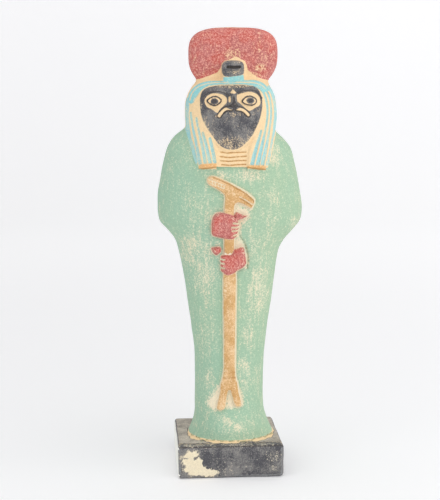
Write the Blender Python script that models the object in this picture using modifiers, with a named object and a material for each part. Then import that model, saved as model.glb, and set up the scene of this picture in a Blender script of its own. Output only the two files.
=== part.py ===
"""A falcon-headed standing figure, wrapped like a mummy and holding a forked staff, on its plinth.

The figure and the plinth are carved from one block, so the whole object is one solid, the node "statue".
Every rounded form is a loft through level rings, and every raised or sunk detail is an outline seen from
the front, pressed through a slightly larger or smaller copy of the form that carries it.

Places on the figure are (side, height) pairs: side is measured from the figure's own leaning centre line,
positive to the viewer's right, and height from the top of the plinth. Both are in parts, of which the
figure is FIGURE_PARTS high, so its pose, proportions and carving are shares of its own height.
"""

import math

import bmesh
import bpy
from mathutils import Vector

# Driving sizes, in metres
PLINTH_WIDTH = 0.057
PLINTH_DEPTH = 0.061
PLINTH_HEIGHT = 0.018
PLINTH_EDGE = 0.0009
FIGURE_HEIGHT = 0.223
DISC_THICKNESS = 0.014
DISC_EDGE = 0.0035
STAFF_RELIEF = 0.0019
HAND_RELIEF = 0.0033
BAND_RELIEF = 0.0007
BAR_RELIEF = 0.0012
EYE_RELIEF = 0.0006
STRIPE_DEPTH = 0.0005
COLLAR_STEP = 0.0008
LINE_DEPTH = 0.0006
FINGER_DEPTH = 0.0012

# How the figure stands: a carver's slightly crooked block, leaning to the viewer's right
FIGURE_PARTS = 223.0
LEAN = 0.0155
PART = FIGURE_HEIGHT / FIGURE_PARTS
FIGURE_SHIFT = 0.3 * PART

# The foot goes this deep into the plinth, so that the two are one body
SOCKET = 2.0
PRISM_REACH = 0.060

# How deep a cut goes into the body where only the form over it is to be cut away
BURIED = 0.002
LINE_WIDTH = 0.7
FINGERS = 4

# The grooves of the wig. The ridges beside the first and the last one are in spaces between grooves.
STRIPES_ON_THE_LEFT = 5
STRIPES_ON_THE_RIGHT = 4
STRIPE_WIDTH = 0.9
STRIPE_BOTTOM = 149.4
STRIPE_TOP = 184.6
STRIPE_POINTS = 9
OUTER_RIDGE = 0.8
INNER_RIDGE = 0.7

# The grooves across the collar
COLLAR_LINES = 4
COLLAR_LOWEST_LINE = 149.8
COLLAR_LINE_SPACE = 2.2

# Stations of the lofts, from the bottom up: height, left half, right half, front, back, front roundness,
# back roundness. Roundness 2 is an ellipse, and a larger one is squarer.
BODY = (
    (-SOCKET, 21.9, 25.2, -24.4, 20.0, 2.2, 2.2),
    (0.0, 21.9, 25.2, -24.4, 20.0, 2.2, 2.2),
    (4.0, 20.7, 23.6, -24.6, 19.6, 2.1, 2.2),
    (9.0, 19.2, 21.5, -23.4, 18.8, 2.1, 2.2),
    (15.0, 18.5, 20.0, -20.8, 18.0, 2.2, 2.3),
    (26.0, 18.6, 19.4, -18.3, 17.2, 2.3, 2.4),
    (43.0, 18.8, 19.6, -17.2, 17.0, 2.3, 2.4),
    (60.0, 21.0, 21.2, -17.4, 17.6, 2.3, 2.4),
    (77.0, 23.4, 23.7, -18.2, 18.6, 2.3, 2.4),
    (91.0, 25.7, 25.2, -19.2, 19.3, 2.3, 2.4),
    (102.0, 28.3, 26.8, -20.4, 19.4, 2.3, 2.4),
    (108.0, 30.0, 29.8, -21.2, 19.2, 2.3, 2.4),
    (114.0, 34.6, 35.1, -21.8, 19.0, 2.2, 2.3),
    (119.0, 39.0, 38.8, -22.2, 19.0, 2.2, 2.3),
    (125.0, 40.0, 39.7, -22.3, 19.3, 2.2, 2.3),
    (132.0, 40.0, 38.8, -22.2, 19.8, 2.2, 2.3),
    (141.0, 38.8, 37.1, -21.6, 20.2, 2.2, 2.3),
    (151.0, 37.0, 34.8, -20.6, 20.0, 2.2, 2.3),
    (158.0, 35.1, 32.8, -19.2, 19.0, 2.2, 2.2),
    (163.0, 32.6, 28.8, -17.4, 17.4, 2.1, 2.1),
    (167.0, 28.6, 24.2, -15.2, 15.4, 2.0, 2.0),
    (170.5, 22.0, 18.0, -12.0, 12.4, 2.0, 2.0),
    (173.0, 12.0, 10.0, -7.0, 7.4, 2.0, 2.0),
)
WIG = (
    (146.8, 18.3, 20.4, -22.9, 21.8, 7.0, 5.0),
    (152.0, 19.5, 21.3, -23.0, 22.0, 7.0, 5.0),
    (158.0, 21.4, 22.1, -22.8, 21.8, 5.5, 4.2),
    (164.0, 23.4, 23.0, -22.2, 21.3, 4.0, 3.4),
    (170.0, 25.0, 24.1, -21.5, 20.8, 3.0, 2.8),
    (176.0, 25.5, 24.7, -21.0, 20.5, 2.7, 2.5),
    (182.0, 25.3, 24.3, -20.4, 19.8, 2.5, 2.4),
    (187.0, 24.0, 23.3, -18.9, 18.2, 2.5, 2.3),
    (191.0, 22.0, 21.3, -16.3, 15.6, 2.4, 2.3),
    (194.5, 19.0, 19.0, -12.0, 11.6, 2.3, 2.2),
    (196.5, 15.0, 15.0, -7.4, 7.2, 2.2, 2.2),
)
BEAK = (
    (177.6, 2.6, 1.6, -22.0, -18.0, 2.0, 2.0),
    (179.0, 3.6, 2.4, -25.2, -18.0, 1.8, 2.0),
    (180.6, 3.8, 2.6, -27.0, -18.0, 1.6, 2.0),
    (182.6, 3.0, 1.8, -26.7, -18.0, 1.6, 2.0),
    (185.2, 2.2, 1.0, -25.2, -18.0, 1.7, 2.0),
    (188.0, 1.9, 0.6, -23.4, -18.0, 1.8, 2.0),
    (190.2, 1.5, 0.2, -21.2, -18.0, 2.0, 2.0),
)
BEAK_MIDDLE = -20.0

# The egg of the face: widest at the eyes, broad over the brow and narrowing to the throat
FACE_SIDE = -1.3
FACE_HALF_WIDTH = 17.0
FACE_WIDEST = 181.0
FACE_TOP = 191.6
FACE_BOTTOM = 157.8
FACE_UPPER_ROUNDNESS = 2.8
FACE_LOWER_ROUNDNESS = 1.9
FACE_LOWER_FULLNESS = 1.6
FACE_MIDDLE = -14.5
FACE_FRONT_BELOW = -21.9
FACE_FRONT_ABOVE = -16.6
FACE_BULGE = 4.2
FACE_RINGS = 14

# The share of the half turn from pole to pole that is left flat at each end
FACE_FLAT_END = 0.06
LEFT_EYE = (-10.6, 183.1)
RIGHT_EYE = (8.1, 183.3)

# The sun disc, a wide superellipse: squarer above than below
DISC_SIDE = 0.5
DISC_HEIGHT = 208.0
DISC_HALF_WIDTH = 24.4
DISC_UPPER = 15.0
DISC_LOWER = 18.0
DISC_UPPER_ROUNDNESS = 3.2
DISC_LOWER_ROUNDNESS = 2.6
DISC_STEPS = 44

SKIN_RED = (0.42, 0.10, 0.09, 1.0)
ROBE_GREEN = (0.32, 0.55, 0.42, 1.0)
WIG_BLUE = (0.36, 0.72, 0.74, 1.0)
FACE_BLACK = (0.06, 0.06, 0.07, 1.0)
STAFF_OCHRE = (0.72, 0.44, 0.20, 1.0)
BARE_GROUND = (0.86, 0.70, 0.46, 1.0)


def clear_scene():
    for thing in list(bpy.data.objects):
        bpy.data.objects.remove(thing, do_unlink=True)


def new_collection(name, hidden=False):
    collection = bpy.data.collections.new(name)
    bpy.context.scene.collection.children.link(collection)
    collection.hide_render = hidden
    return collection


def paint(name, colour, roughness=0.85):
    """A matt paint on plaster."""
    made = bpy.data.materials.new(name)
    made.use_nodes = True
    shader = made.node_tree.nodes["Principled BSDF"]
    shader.inputs["Base Color"].default_value = colour
    shader.inputs["Roughness"].default_value = roughness
    shader.inputs["Metallic"].default_value = 0.0
    made.diffuse_color = colour
    return made


def centre_line(height):
    """The sideways place of the leaning centre line, in metres, at a height in parts."""
    return FIGURE_SHIFT + LEAN * height * PART


def place(side, depth, height):
    """A point of the figure, given in parts, as a place in the world in metres."""
    return Vector((centre_line(height) + side * PART, depth * PART, PLINTH_HEIGHT + height * PART))


def station_at(stations, height):
    """The loft's values at a height, on a smooth curve through the stations that never overshoots."""
    last = len(stations) - 1
    at = max(i for i in range(last) if i == 0 or stations[i][0] <= height)
    low, high = stations[at], stations[at + 1]
    gap = high[0] - low[0]
    share = min(1.0, max(0.0, (height - low[0]) / gap))

    def slope(i, column):
        if i == 0 or i == last:
            return 0.0
        before = (stations[i][column] - stations[i - 1][column]) / (stations[i][0] - stations[i - 1][0])
        after = (stations[i + 1][column] - stations[i][column]) / (stations[i + 1][0] - stations[i][0])
        return 0.0 if before * after <= 0 else 2 * before * after / (before + after)

    values = []
    for column in range(1, len(low)):
        bend_low = slope(at, column) * gap
        bend_high = slope(at + 1, column) * gap
        rise = high[column] - low[column]
        curve = (bend_low + bend_high - 2 * rise) * share**3
        curve += (3 * rise - 2 * bend_low - bend_high) * share**2 + bend_low * share
        values.append(low[column] + curve)
    return values


def ring_heights(stations, longest):
    """A ring at each station, and more between two stations that are far apart."""
    heights = []
    for low, high in zip(stations, stations[1:]):
        count = max(1, math.ceil((high[0] - low[0]) / longest))
        heights += [low[0] + (high[0] - low[0]) * step / count for step in range(count)]
    return heights + [stations[-1][0]]


def power(value, exponent):
    return math.copysign(abs(value) ** exponent, value)


def loft(name, stations, middle=0.0, side=0.0, grow=0.0, sides=40, longest=9.0):
    """A closed form through level rings. grow, in metres, makes it that much larger all round."""
    extra = grow / PART
    points = []
    for height in ring_heights(stations, longest):
        left, right, front, back, front_round, back_round = station_at(stations, height)
        for step in range(sides):
            angle = 2 * math.pi * (step + 0.5) / sides
            half = (right if math.cos(angle) > 0 else left) + extra
            reach = back - middle if math.sin(angle) > 0 else middle - front
            roundness = back_round if math.sin(angle) > 0 else front_round
            across = half * power(math.cos(angle), 2 / roundness)
            deep = (reach + extra) * power(math.sin(angle), 2 / roundness)
            points.append(place(side + across, middle + deep, height))
    rings = len(points) // sides
    faces = [tuple(reversed(range(sides))), tuple(range((rings - 1) * sides, rings * sides))]
    for ring in range(rings - 1):
        for step in range(sides):
            here, after = ring * sides + step, ring * sides + (step + 1) % sides
            faces.append((here, after, after + sides, here + sides))
    mesh = bpy.data.meshes.new(name)
    mesh.from_pydata(points, [], faces)
    return add_object(name, mesh)


def add_object(name, mesh):
    made = bpy.data.objects.new(name, mesh)
    cutters.objects.link(made)
    made.display_type = "WIRE"
    made.hide_render = True
    return made


def prism(name, outlines):
    """Outlines of (side, height) points, extruded from in front of the figure to its middle."""
    curve = bpy.data.curves.new(name, "CURVE")
    curve.dimensions = "2D"
    curve.fill_mode = "BOTH"
    curve.extrude = PRISM_REACH / 2
    for outline in outlines:
        spline = curve.splines.new("POLY")
        spline.points.add(len(outline) - 1)
        for point, (side, height) in zip(spline.points, outline):
            spot = place(side, 0.0, height)
            point.co = (spot.x, spot.z, 0.0, 1.0)
        spline.use_cyclic_u = True
    return mesh_from_curve(name, curve, Vector((0.0, -PRISM_REACH / 2, 0.0)))


def mesh_from_curve(name, curve, location):
    """The curve stood upright, facing the front, as a welded mesh."""
    guide = bpy.data.objects.new(name + "_guide", curve)
    cutters.objects.link(guide)
    guide.rotation_euler = (math.pi / 2, 0.0, 0.0)
    guide.location = location
    bpy.context.view_layer.update()
    graph = bpy.context.evaluated_depsgraph_get()
    mesh = bpy.data.meshes.new_from_object(guide.evaluated_get(graph))
    made = add_object(name, mesh)
    mesh.transform(guide.matrix_world)
    bpy.data.objects.remove(guide, do_unlink=True)
    weld(mesh)
    return made


def weld(mesh):
    """Makes one vertex of those that lie on each other, as where a curve's caps meet its sides."""
    work = bmesh.new()
    work.from_mesh(mesh)
    bmesh.ops.remove_doubles(work, verts=work.verts, dist=1e-6)
    bmesh.ops.recalc_face_normals(work, faces=work.faces)
    work.to_mesh(mesh)
    work.free()


def solve(target, settings):
    """Applies one exact Boolean to the target's mesh, keeping each form's paint."""
    change = target.modifiers.new("carving", "BOOLEAN")
    change.solver = "EXACT"
    change.material_mode = "TRANSFER"
    for name, value in settings.items():
        setattr(change, name, value)
    bpy.context.view_layer.update()
    graph = bpy.context.evaluated_depsgraph_get()
    shaped = bpy.data.meshes.new_from_object(target.evaluated_get(graph))
    target.modifiers.remove(change)
    target.data = shaped


def combine(target, other, operation):
    """Intersects a form with another or takes the other from it. The other is then used up."""
    solve(target, {"operation": operation, "object": other})
    bpy.data.objects.remove(other, do_unlink=True)
    return target


def unite(name, forms):
    """One body out of forms that run into each other."""
    whole, others = forms[0], new_collection("joined_forms", hidden=True)
    for form in forms[1:]:
        others.objects.link(form)
    solve(whole, {"operation": "UNION", "operand_type": "COLLECTION", "collection": others})
    for form in forms[1:]:
        bpy.data.objects.remove(form, do_unlink=True)
    bpy.data.collections.remove(others)
    whole.name = name
    return whole


def give(form, finish):
    form.data.materials.clear()
    form.data.materials.append(finish)
    return form


def raised(carrier, outlines, height, finish):
    """The outlines as plates that stand above the form that the carrier function makes."""
    plate = give(carrier(grow=height), finish)
    return combine(plate, give(prism("outline", outlines), finish), "INTERSECT")


def sink_in(form, carrier, outlines, level, finish):
    """Sinks the outlines to a level above (positive) or below the form that the carrier makes."""
    cutter = give(prism("outline", outlines), finish)
    combine(cutter, give(carrier(grow=level), finish), "DIFFERENCE")
    return combine(form, cutter, "DIFFERENCE")


def stroke(points, width):
    """The outline of a line of the given width, drawn through (side, height) points."""
    one, other = [], []
    for i, (side, height) in enumerate(points):
        before, after = points[max(0, i - 1)], points[min(len(points) - 1, i + 1)]
        along = Vector((after[0] - before[0], after[1] - before[1])).normalized()
        one.append((side - along.y * width / 2, height + along.x * width / 2))
        other.append((side + along.y * width / 2, height - along.x * width / 2))
    return one + other[::-1]


def oval(centre, half_width, half_height, steps=8):
    turns = [2 * math.pi * step / steps for step in range(steps)]
    return [(centre[0] + half_width * math.cos(t), centre[1] + half_height * math.sin(t)) for t in turns]


def body(grow=0.0):
    """The wrapped body: feet, legs, folded arms and shoulders in one smooth wrapping."""
    return loft("body", BODY, grow=grow, sides=40, longest=9.0)


def wig(grow=0.0):
    """The striped wig, from its lappets on the chest to its crown."""
    return loft("wig", WIG, grow=grow, sides=48, longest=7.0)


def face_half_width(height):
    if height > FACE_WIDEST:
        share = (height - FACE_WIDEST) / (FACE_TOP - FACE_WIDEST)
        return FACE_HALF_WIDTH * max(0.0, 1 - share**FACE_UPPER_ROUNDNESS) ** (1 / FACE_UPPER_ROUNDNESS)
    share = (FACE_WIDEST - height) / (FACE_WIDEST - FACE_BOTTOM)
    return FACE_HALF_WIDTH * max(0.0, 1 - share**FACE_LOWER_ROUNDNESS) ** (1 / FACE_LOWER_FULLNESS)


def face(grow=0.0):
    """The falcon's face, a shallow egg that stands proud of the wig."""
    stations = []
    for step in range(FACE_RINGS + 1):
        turn = FACE_FLAT_END + (1 - 2 * FACE_FLAT_END) * step / FACE_RINGS
        share = 0.5 - 0.5 * math.cos(math.pi * turn)
        height = FACE_BOTTOM + (FACE_TOP - FACE_BOTTOM) * share
        half = face_half_width(height)
        slope = FACE_FRONT_BELOW + (FACE_FRONT_ABOVE - FACE_FRONT_BELOW) * share
        front = slope - FACE_BULGE * math.sin(math.pi * share) ** 0.5
        stations.append((height, half, half, front, FACE_MIDDLE + 6.0, 2.6, 2.0))
    return loft("face", stations, middle=FACE_MIDDLE, side=FACE_SIDE, grow=grow, sides=28, longest=9.0)


def beak():
    return loft("beak", BEAK, middle=BEAK_MIDDLE, side=0.0, sides=12, longest=3.0)


def sun_disc():
    """The disc over the head, with a softly rounded rim."""
    outline = []
    for step in range(DISC_STEPS):
        turn = 2 * math.pi * step / DISC_STEPS
        above = math.sin(turn) > 0
        roundness = DISC_UPPER_ROUNDNESS if above else DISC_LOWER_ROUNDNESS
        tall = DISC_UPPER if above else DISC_LOWER
        across = DISC_HALF_WIDTH * power(math.cos(turn), 2 / roundness)
        up = tall * power(math.sin(turn), 2 / roundness)
        outline.append((DISC_SIDE + across, DISC_HEIGHT + up))
    curve = bpy.data.curves.new("sun_disc", "CURVE")
    curve.dimensions = "2D"
    curve.fill_mode = "BOTH"
    rounding = min(DISC_EDGE, 0.45 * DISC_THICKNESS)
    curve.extrude = DISC_THICKNESS / 2 - rounding
    curve.bevel_depth = rounding
    curve.bevel_resolution = 2
    curve.offset = -rounding
    spline = curve.splines.new("POLY")
    spline.points.add(DISC_STEPS - 1)
    for point, (side, height) in zip(spline.points, outline):
        spot = place(side, 0.0, height)
        point.co = (spot.x, spot.z, 0.0, 1.0)
    spline.use_cyclic_u = True
    return mesh_from_curve("sun_disc", curve, Vector((0.0, 0.0, 0.0)))


def block(name, low, high, edge, segments):
    """A box between two corners, in metres, with rounded edges."""
    bpy.ops.mesh.primitive_cube_add(size=1.0, location=(low + high) / 2)
    made = bpy.context.active_object
    made.name = name
    made.dimensions = high - low
    bpy.ops.object.transform_apply(location=True, rotation=True, scale=True)
    rounding = made.modifiers.new("rounding", "BEVEL")
    rounding.width = edge
    rounding.segments = segments
    rounding.limit_method = "ANGLE"
    bpy.ops.object.modifier_apply(modifier=rounding.name)
    return made


def plinth():
    half = Vector((PLINTH_WIDTH / 2, PLINTH_DEPTH / 2, 0.0))
    return block("plinth", -half, half + Vector((0.0, 0.0, PLINTH_HEIGHT)), PLINTH_EDGE, 2)


def cobra():
    """The rearing cobra over the brow, worn down to a rounded knob on a short neck."""
    knob = block("cobra", place(-6.6, -16.6, 196.2), place(5.6, -4.0, 204.7), 2.6 * PART, 3)
    mouth = block("cobra_mouth", place(-3.7, -20.0, 200.5), place(2.9, -15.6, 201.7), 0.4 * PART, 1)
    neck = block("cobra_neck", place(-5.7, -16.0, 190.0), place(5.4, -4.0, 198.0), 1.2 * PART, 1)
    return combine(knob, mouth, "DIFFERENCE"), neck


def lappet_edges(height, left):
    """The outer and inner sides of a lappet at a height."""
    values = station_at(WIG, height)
    if height > FACE_BOTTOM + 2:
        inner = FACE_SIDE + (-1 if left else 1) * face_half_width(height)
    else:
        inner = -9.0 if left else 7.6
    outer = -values[0] if left else values[1]
    return outer, inner


def stripe(left, share):
    """A groove of the wig that runs down a lappet at a fixed share of its width."""
    points = []
    for step in range(STRIPE_POINTS):
        height = STRIPE_BOTTOM + (STRIPE_TOP - STRIPE_BOTTOM) * step / (STRIPE_POINTS - 1)
        outer, inner = lappet_edges(height, left)
        points.append((outer + (inner - outer) * share, height))
    return stroke(points, STRIPE_WIDTH)


def stripes():
    """Grooves at even spaces across each lappet, with a ridge left beside the first and the last."""
    made = []
    for count, left in ((STRIPES_ON_THE_LEFT, True), (STRIPES_ON_THE_RIGHT, False)):
        spaces = OUTER_RIDGE + (count - 1) + INNER_RIDGE
        made += [stripe(left, (OUTER_RIDGE + k) / spaces) for k in range(count)]
    return made


def brow_band():
    """The fillet of the wig over the brow."""
    upper = [(-22.6, 186.4), (-19.4, 191.4), (-13.6, 194.0), (-4.7, 193.4), (5.4, 193.5), (14.9, 193.4)]
    ends = [(20.4, 189.0), (17.4, 187.2)]
    lower = [(13.2, 191.3), (5.2, 192.4), (-4.8, 192.5), (-12.6, 191.9), (-17.6, 188.8), (-20.6, 184.6)]
    return upper + ends + lower


def lappet_bars():
    left = [(-18.6, 147.7), (-18.0, 150.3), (-9.8, 150.0), (-9.5, 148.9), (-9.9, 147.5)]
    right = [(8.2, 147.3), (8.2, 149.2), (17.0, 149.0), (17.8, 148.0), (17.2, 146.9)]
    return left, right


def eye(centre, flip):
    """An almond with its long corner outward."""
    upper_lid = [(-3.6, -0.2), (-2.4, 1.5), (-0.2, 2.3), (1.8, 1.7)]
    lower_lid = [(3.6, 0.0), (1.6, -2.0), (-0.4, -2.6), (-2.4, -1.8)]
    return [(centre[0] + flip * across, centre[1] + up) for across, up in upper_lid + lower_lid]


def gape(flip):
    """The raised edge of the open beak, which curves down and outward."""
    across = (1.6, 3.9, 6.2, 8.0)
    up = (178.9, 179.2, 178.0, 175.6)
    return stroke([(-0.6 + flip * a, h) for a, h in zip(across, up)], 1.5)


def brow(flip):
    """The ridge over the eye."""
    across = (3.2, 6.0, 10.0, 13.4, 15.4)
    up = (186.6, 187.7, 188.2, 187.2, 184.2)
    return stroke([(-1.0 + flip * a, h) for a, h in zip(across, up)], 0.9)


def collar():
    """The ribbed collar, a step lower than the lappets on both sides of it."""
    right = [(7.6, 140.0), (7.7, 152.0), (8.6, 160.0), (5.0, 163.0)]
    left = [(-7.4, 163.0), (-10.0, 160.0), (-9.2, 152.0), (-9.0, 140.0)]
    return right + left


def below_collar():
    """The bare chest between the ends of the lappets."""
    return [(-9.4, 140.0), (7.9, 140.0), (7.9, 148.2), (-9.4, 148.5)]


def collar_lines():
    rows = [COLLAR_LOWEST_LINE + COLLAR_LINE_SPACE * k for k in range(COLLAR_LINES)]
    return [stroke([(-7.3, row), (-0.5, row - 0.2), (6.4, row + 0.1)], LINE_WIDTH) for row in rows]


def staff():
    """The forked staff: a slanting animal head, a straight shaft and two prongs."""
    head = [(-14.5, 141.3), (-13.5, 143.2), (-10.8, 144.0), (-7.2, 142.7), (-1.3, 139.8), (5.8, 136.0)]
    head += [(9.7, 133.0), (11.6, 130.8), (10.0, 126.8), (8.9, 126.4), (4.3, 129.0), (1.6, 129.6)]
    right = [(0.7, 127.6), (1.2, 104.0), (2.3, 91.0), (2.7, 44.0), (2.7, 37.4), (3.4, 34.0), (4.0, 30.8)]
    right_prong = [(4.4, 27.2), (6.4, 19.9), (5.6, 18.6), (2.2, 19.2), (0.6, 23.6)]
    left_prong = [(-0.8, 27.9), (-2.2, 23.4), (-2.8, 18.1), (-4.4, 17.0), (-7.4, 17.4), (-7.5, 19.6)]
    left = [(-5.9, 27.1), (-5.8, 30.5), (-4.9, 34.0), (-4.1, 37.4), (-4.0, 44.0), (-4.8, 91.0)]
    chin = [(-5.2, 123.0), (-5.2, 128.5), (-4.7, 133.2), (-6.6, 135.3), (-9.9, 137.5), (-12.9, 139.1)]
    return head + right + right_prong + left_prong + left + chin


def staff_lines():
    """Grooves along the staff's head and round its foot."""
    along_head = [(-11.0, 142.6), (-6.7, 141.0), (-1.3, 138.2), (5.8, 134.4), (10.3, 130.6)]
    jaw = [(3.4, 132.0), (6.4, 130.4), (9.6, 128.0)]
    rings = [[(-3.2, height), (1.9, height)] for height in (37.0, 34.2)]
    return [stroke(line, LINE_WIDTH) for line in [along_head, jaw] + rings]


def upper_hand():
    """The hand that comes from the left, its thumb along the staff."""
    back = [(-11.2, 112.0), (-11.2, 116.6), (-11.0, 121.0), (-9.7, 123.4), (-7.6, 124.6), (-4.9, 124.4)]
    thumb = [(0.6, 122.8), (1.6, 124.1), (2.9, 124.6), (7.6, 122.9), (6.0, 121.1), (3.9, 120.1), (3.5, 119.2)]
    fingers = [(4.2, 118.4), (3.6, 114.9), (2.8, 112.0), (1.2, 110.8), (-2.5, 110.4), (-5.3, 110.8)]
    return back + thumb + fingers


def lower_hand():
    """The hand that comes from the right."""
    back = [(0.8, 105.2), (3.5, 105.9), (5.8, 105.9), (6.6, 103.3), (7.5, 100.6), (7.5, 97.9), (7.2, 95.0)]
    heel = [(4.8, 93.7), (-0.7, 91.0), (-2.8, 90.7), (-5.4, 91.4)]
    fingers = [(-6.4, 94.0), (-6.8, 97.8), (-6.8, 101.0), (-4.1, 101.6), (-1.3, 101.9), (0.8, 103.4)]
    return back + heel + fingers


def thumb_of_lower_hand():
    upper = [(-11.2, 104.9), (-9.0, 105.6), (-6.6, 105.8)]
    lower = [(-6.2, 104.2), (-7.0, 101.6), (-9.0, 101.8), (-10.2, 103.0)]
    return upper + lower


def finger_gaps():
    """The cuts between the fingers of both hands."""
    gaps = range(FINGERS - 1)
    upper = [stroke([(0.2, 118.2 - 2.8 * k), (4.8 - 0.6 * k, 119.2 - 2.8 * k)], LINE_WIDTH) for k in gaps]
    lower = [stroke([(-7.6, 98.9 - 2.3 * k), (-4.6, 98.7 - 2.3 * k)], LINE_WIDTH) for k in gaps]
    return upper + lower


def build_statue():
    red = paint("red_paint", SKIN_RED)
    green = paint("green_paint", ROBE_GREEN)
    blue = paint("blue_paint", WIG_BLUE)
    black = paint("black_paint", FACE_BLACK)
    ochre = paint("ochre_paint", STAFF_OCHRE)
    bare = paint("bare_ground", BARE_GROUND)

    hair = give(wig(), bare)
    sink_in(hair, wig, stripes(), -STRIPE_DEPTH, blue)
    sink_in(hair, wig, [collar()], -COLLAR_STEP, bare)
    sink_in(hair, wig, collar_lines(), -COLLAR_STEP - LINE_DEPTH, ochre)
    sink_in(hair, body, [below_collar()], -BURIED, bare)
    band = raised(wig, [brow_band()], BAND_RELIEF, blue)
    bars = raised(wig, lappet_bars(), BAR_RELIEF, ochre)

    knob, neck = cobra()
    eyes = raised(face, [eye(LEFT_EYE, -1), eye(RIGHT_EYE, 1)], EYE_RELIEF, bare)
    pupils = raised(face, [oval(LEFT_EYE, 1.9, 1.5), oval(RIGHT_EYE, 1.9, 1.5)], 2 * EYE_RELIEF, black)
    ridges = raised(face, [brow(-1), brow(1), gape(-1), gape(1)], BAND_RELIEF, black)
    head = [give(face(), black), eyes, pupils, ridges, give(beak(), black)]

    stick = raised(body, [staff()], STAFF_RELIEF, ochre)
    sink_in(stick, body, staff_lines(), STAFF_RELIEF - LINE_DEPTH, ochre)
    hands = raised(body, [upper_hand(), lower_hand(), thumb_of_lower_hand()], HAND_RELIEF, red)
    sink_in(hands, body, finger_gaps(), HAND_RELIEF - FINGER_DEPTH, bare)

    forms = [give(plinth(), black), give(body(), green), hair, band, bars, give(sun_disc(), red)]
    forms += [give(neck, blue), give(knob, black)] + head + [stick, hands]
    return unite("statue", forms)


clear_scene()
figure_parts = new_collection("falcon_headed_figure")
cutters = new_collection("cutters", hidden=True)
finished = build_statue()
for holder in list(finished.users_collection):
    holder.objects.unlink(finished)
figure_parts.objects.link(finished)
finished.hide_render = False
finished.display_type = "TEXTURED"
finished.data.shade_smooth()
finished.data.set_sharp_from_angle(angle=math.radians(35))
print("statue:", len(finished.data.polygons), "faces")
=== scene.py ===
# %% [markdown]
# # A falcon-headed figure, carved and painted
# The real object is one block of soft stone, carved in low relief, painted and then rubbed until its pale
# ground shows through. The imported solid gives the frame that everything here is fitted to: its box, its base
# and its one body. It is loaded first, and the finished skin is kept inside its box.

# %% Load the frame
import math

import bmesh
import bpy
import numpy as np
from mathutils import Matrix, Vector


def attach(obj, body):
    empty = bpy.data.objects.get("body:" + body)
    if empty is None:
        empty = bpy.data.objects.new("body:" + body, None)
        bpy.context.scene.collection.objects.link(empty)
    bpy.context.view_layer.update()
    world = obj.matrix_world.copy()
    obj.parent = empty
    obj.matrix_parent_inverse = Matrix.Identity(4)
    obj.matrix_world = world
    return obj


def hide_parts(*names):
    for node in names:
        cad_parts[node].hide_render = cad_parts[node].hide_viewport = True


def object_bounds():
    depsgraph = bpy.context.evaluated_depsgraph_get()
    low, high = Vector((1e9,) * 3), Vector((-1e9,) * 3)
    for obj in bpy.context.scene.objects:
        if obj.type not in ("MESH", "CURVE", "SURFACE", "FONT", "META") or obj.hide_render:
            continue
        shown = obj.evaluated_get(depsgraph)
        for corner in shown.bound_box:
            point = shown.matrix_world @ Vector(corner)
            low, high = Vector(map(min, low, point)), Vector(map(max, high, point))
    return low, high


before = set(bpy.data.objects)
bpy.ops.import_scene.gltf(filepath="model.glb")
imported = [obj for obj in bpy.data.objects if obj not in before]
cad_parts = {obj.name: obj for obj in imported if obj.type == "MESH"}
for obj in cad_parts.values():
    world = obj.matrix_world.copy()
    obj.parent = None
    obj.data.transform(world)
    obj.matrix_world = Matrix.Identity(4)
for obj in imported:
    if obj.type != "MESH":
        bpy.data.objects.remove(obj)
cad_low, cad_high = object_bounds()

print("solid's box in mm:", [round(1000 * side, 1) for side in cad_high - cad_low])

# %% [markdown]
# ## Places on the figure
# A carver draws the figure on the front of the block before cutting. The same is done here: a place is a pair
# (side, height), in parts of the figure's height, measured from a centre line that leans a little to the
# viewer's right. One part is close to a millimetre. Working in parts keeps every outline true if the figure's
# height changes, because the part is worked out from the frame's box.

# %% Parts and places
PLINTH_HEIGHT = 0.018
FIGURE_PARTS = 223.0
PART = (cad_high.z - PLINTH_HEIGHT) / FIGURE_PARTS
LEAN = 0.0155
SHIFT = 0.3


def place(side, depth, height):
    """A point given in parts, as a place in the frame in metres."""
    return Vector(((SHIFT + LEAN * height + side) * PART, depth * PART, PLINTH_HEIGHT + height * PART))


def parts_of(points):
    """World points in metres as side, depth and height in parts."""
    height = (points[:, 2] - PLINTH_HEIGHT) / PART
    return points[:, 0] / PART - SHIFT - LEAN * height, points[:, 1] / PART, height


print("one part is", round(1000 * PART, 3), "mm")

# %% [markdown]
# ## Stations
# A rounded block is planned with stations: at each height, how far the form reaches to the left, right, front
# and back, and how square its section is (2 is an ellipse, more is squarer). Between two stations the values
# follow a smooth curve that never overshoots, so that the outline has no bumps that nobody drew.

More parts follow.
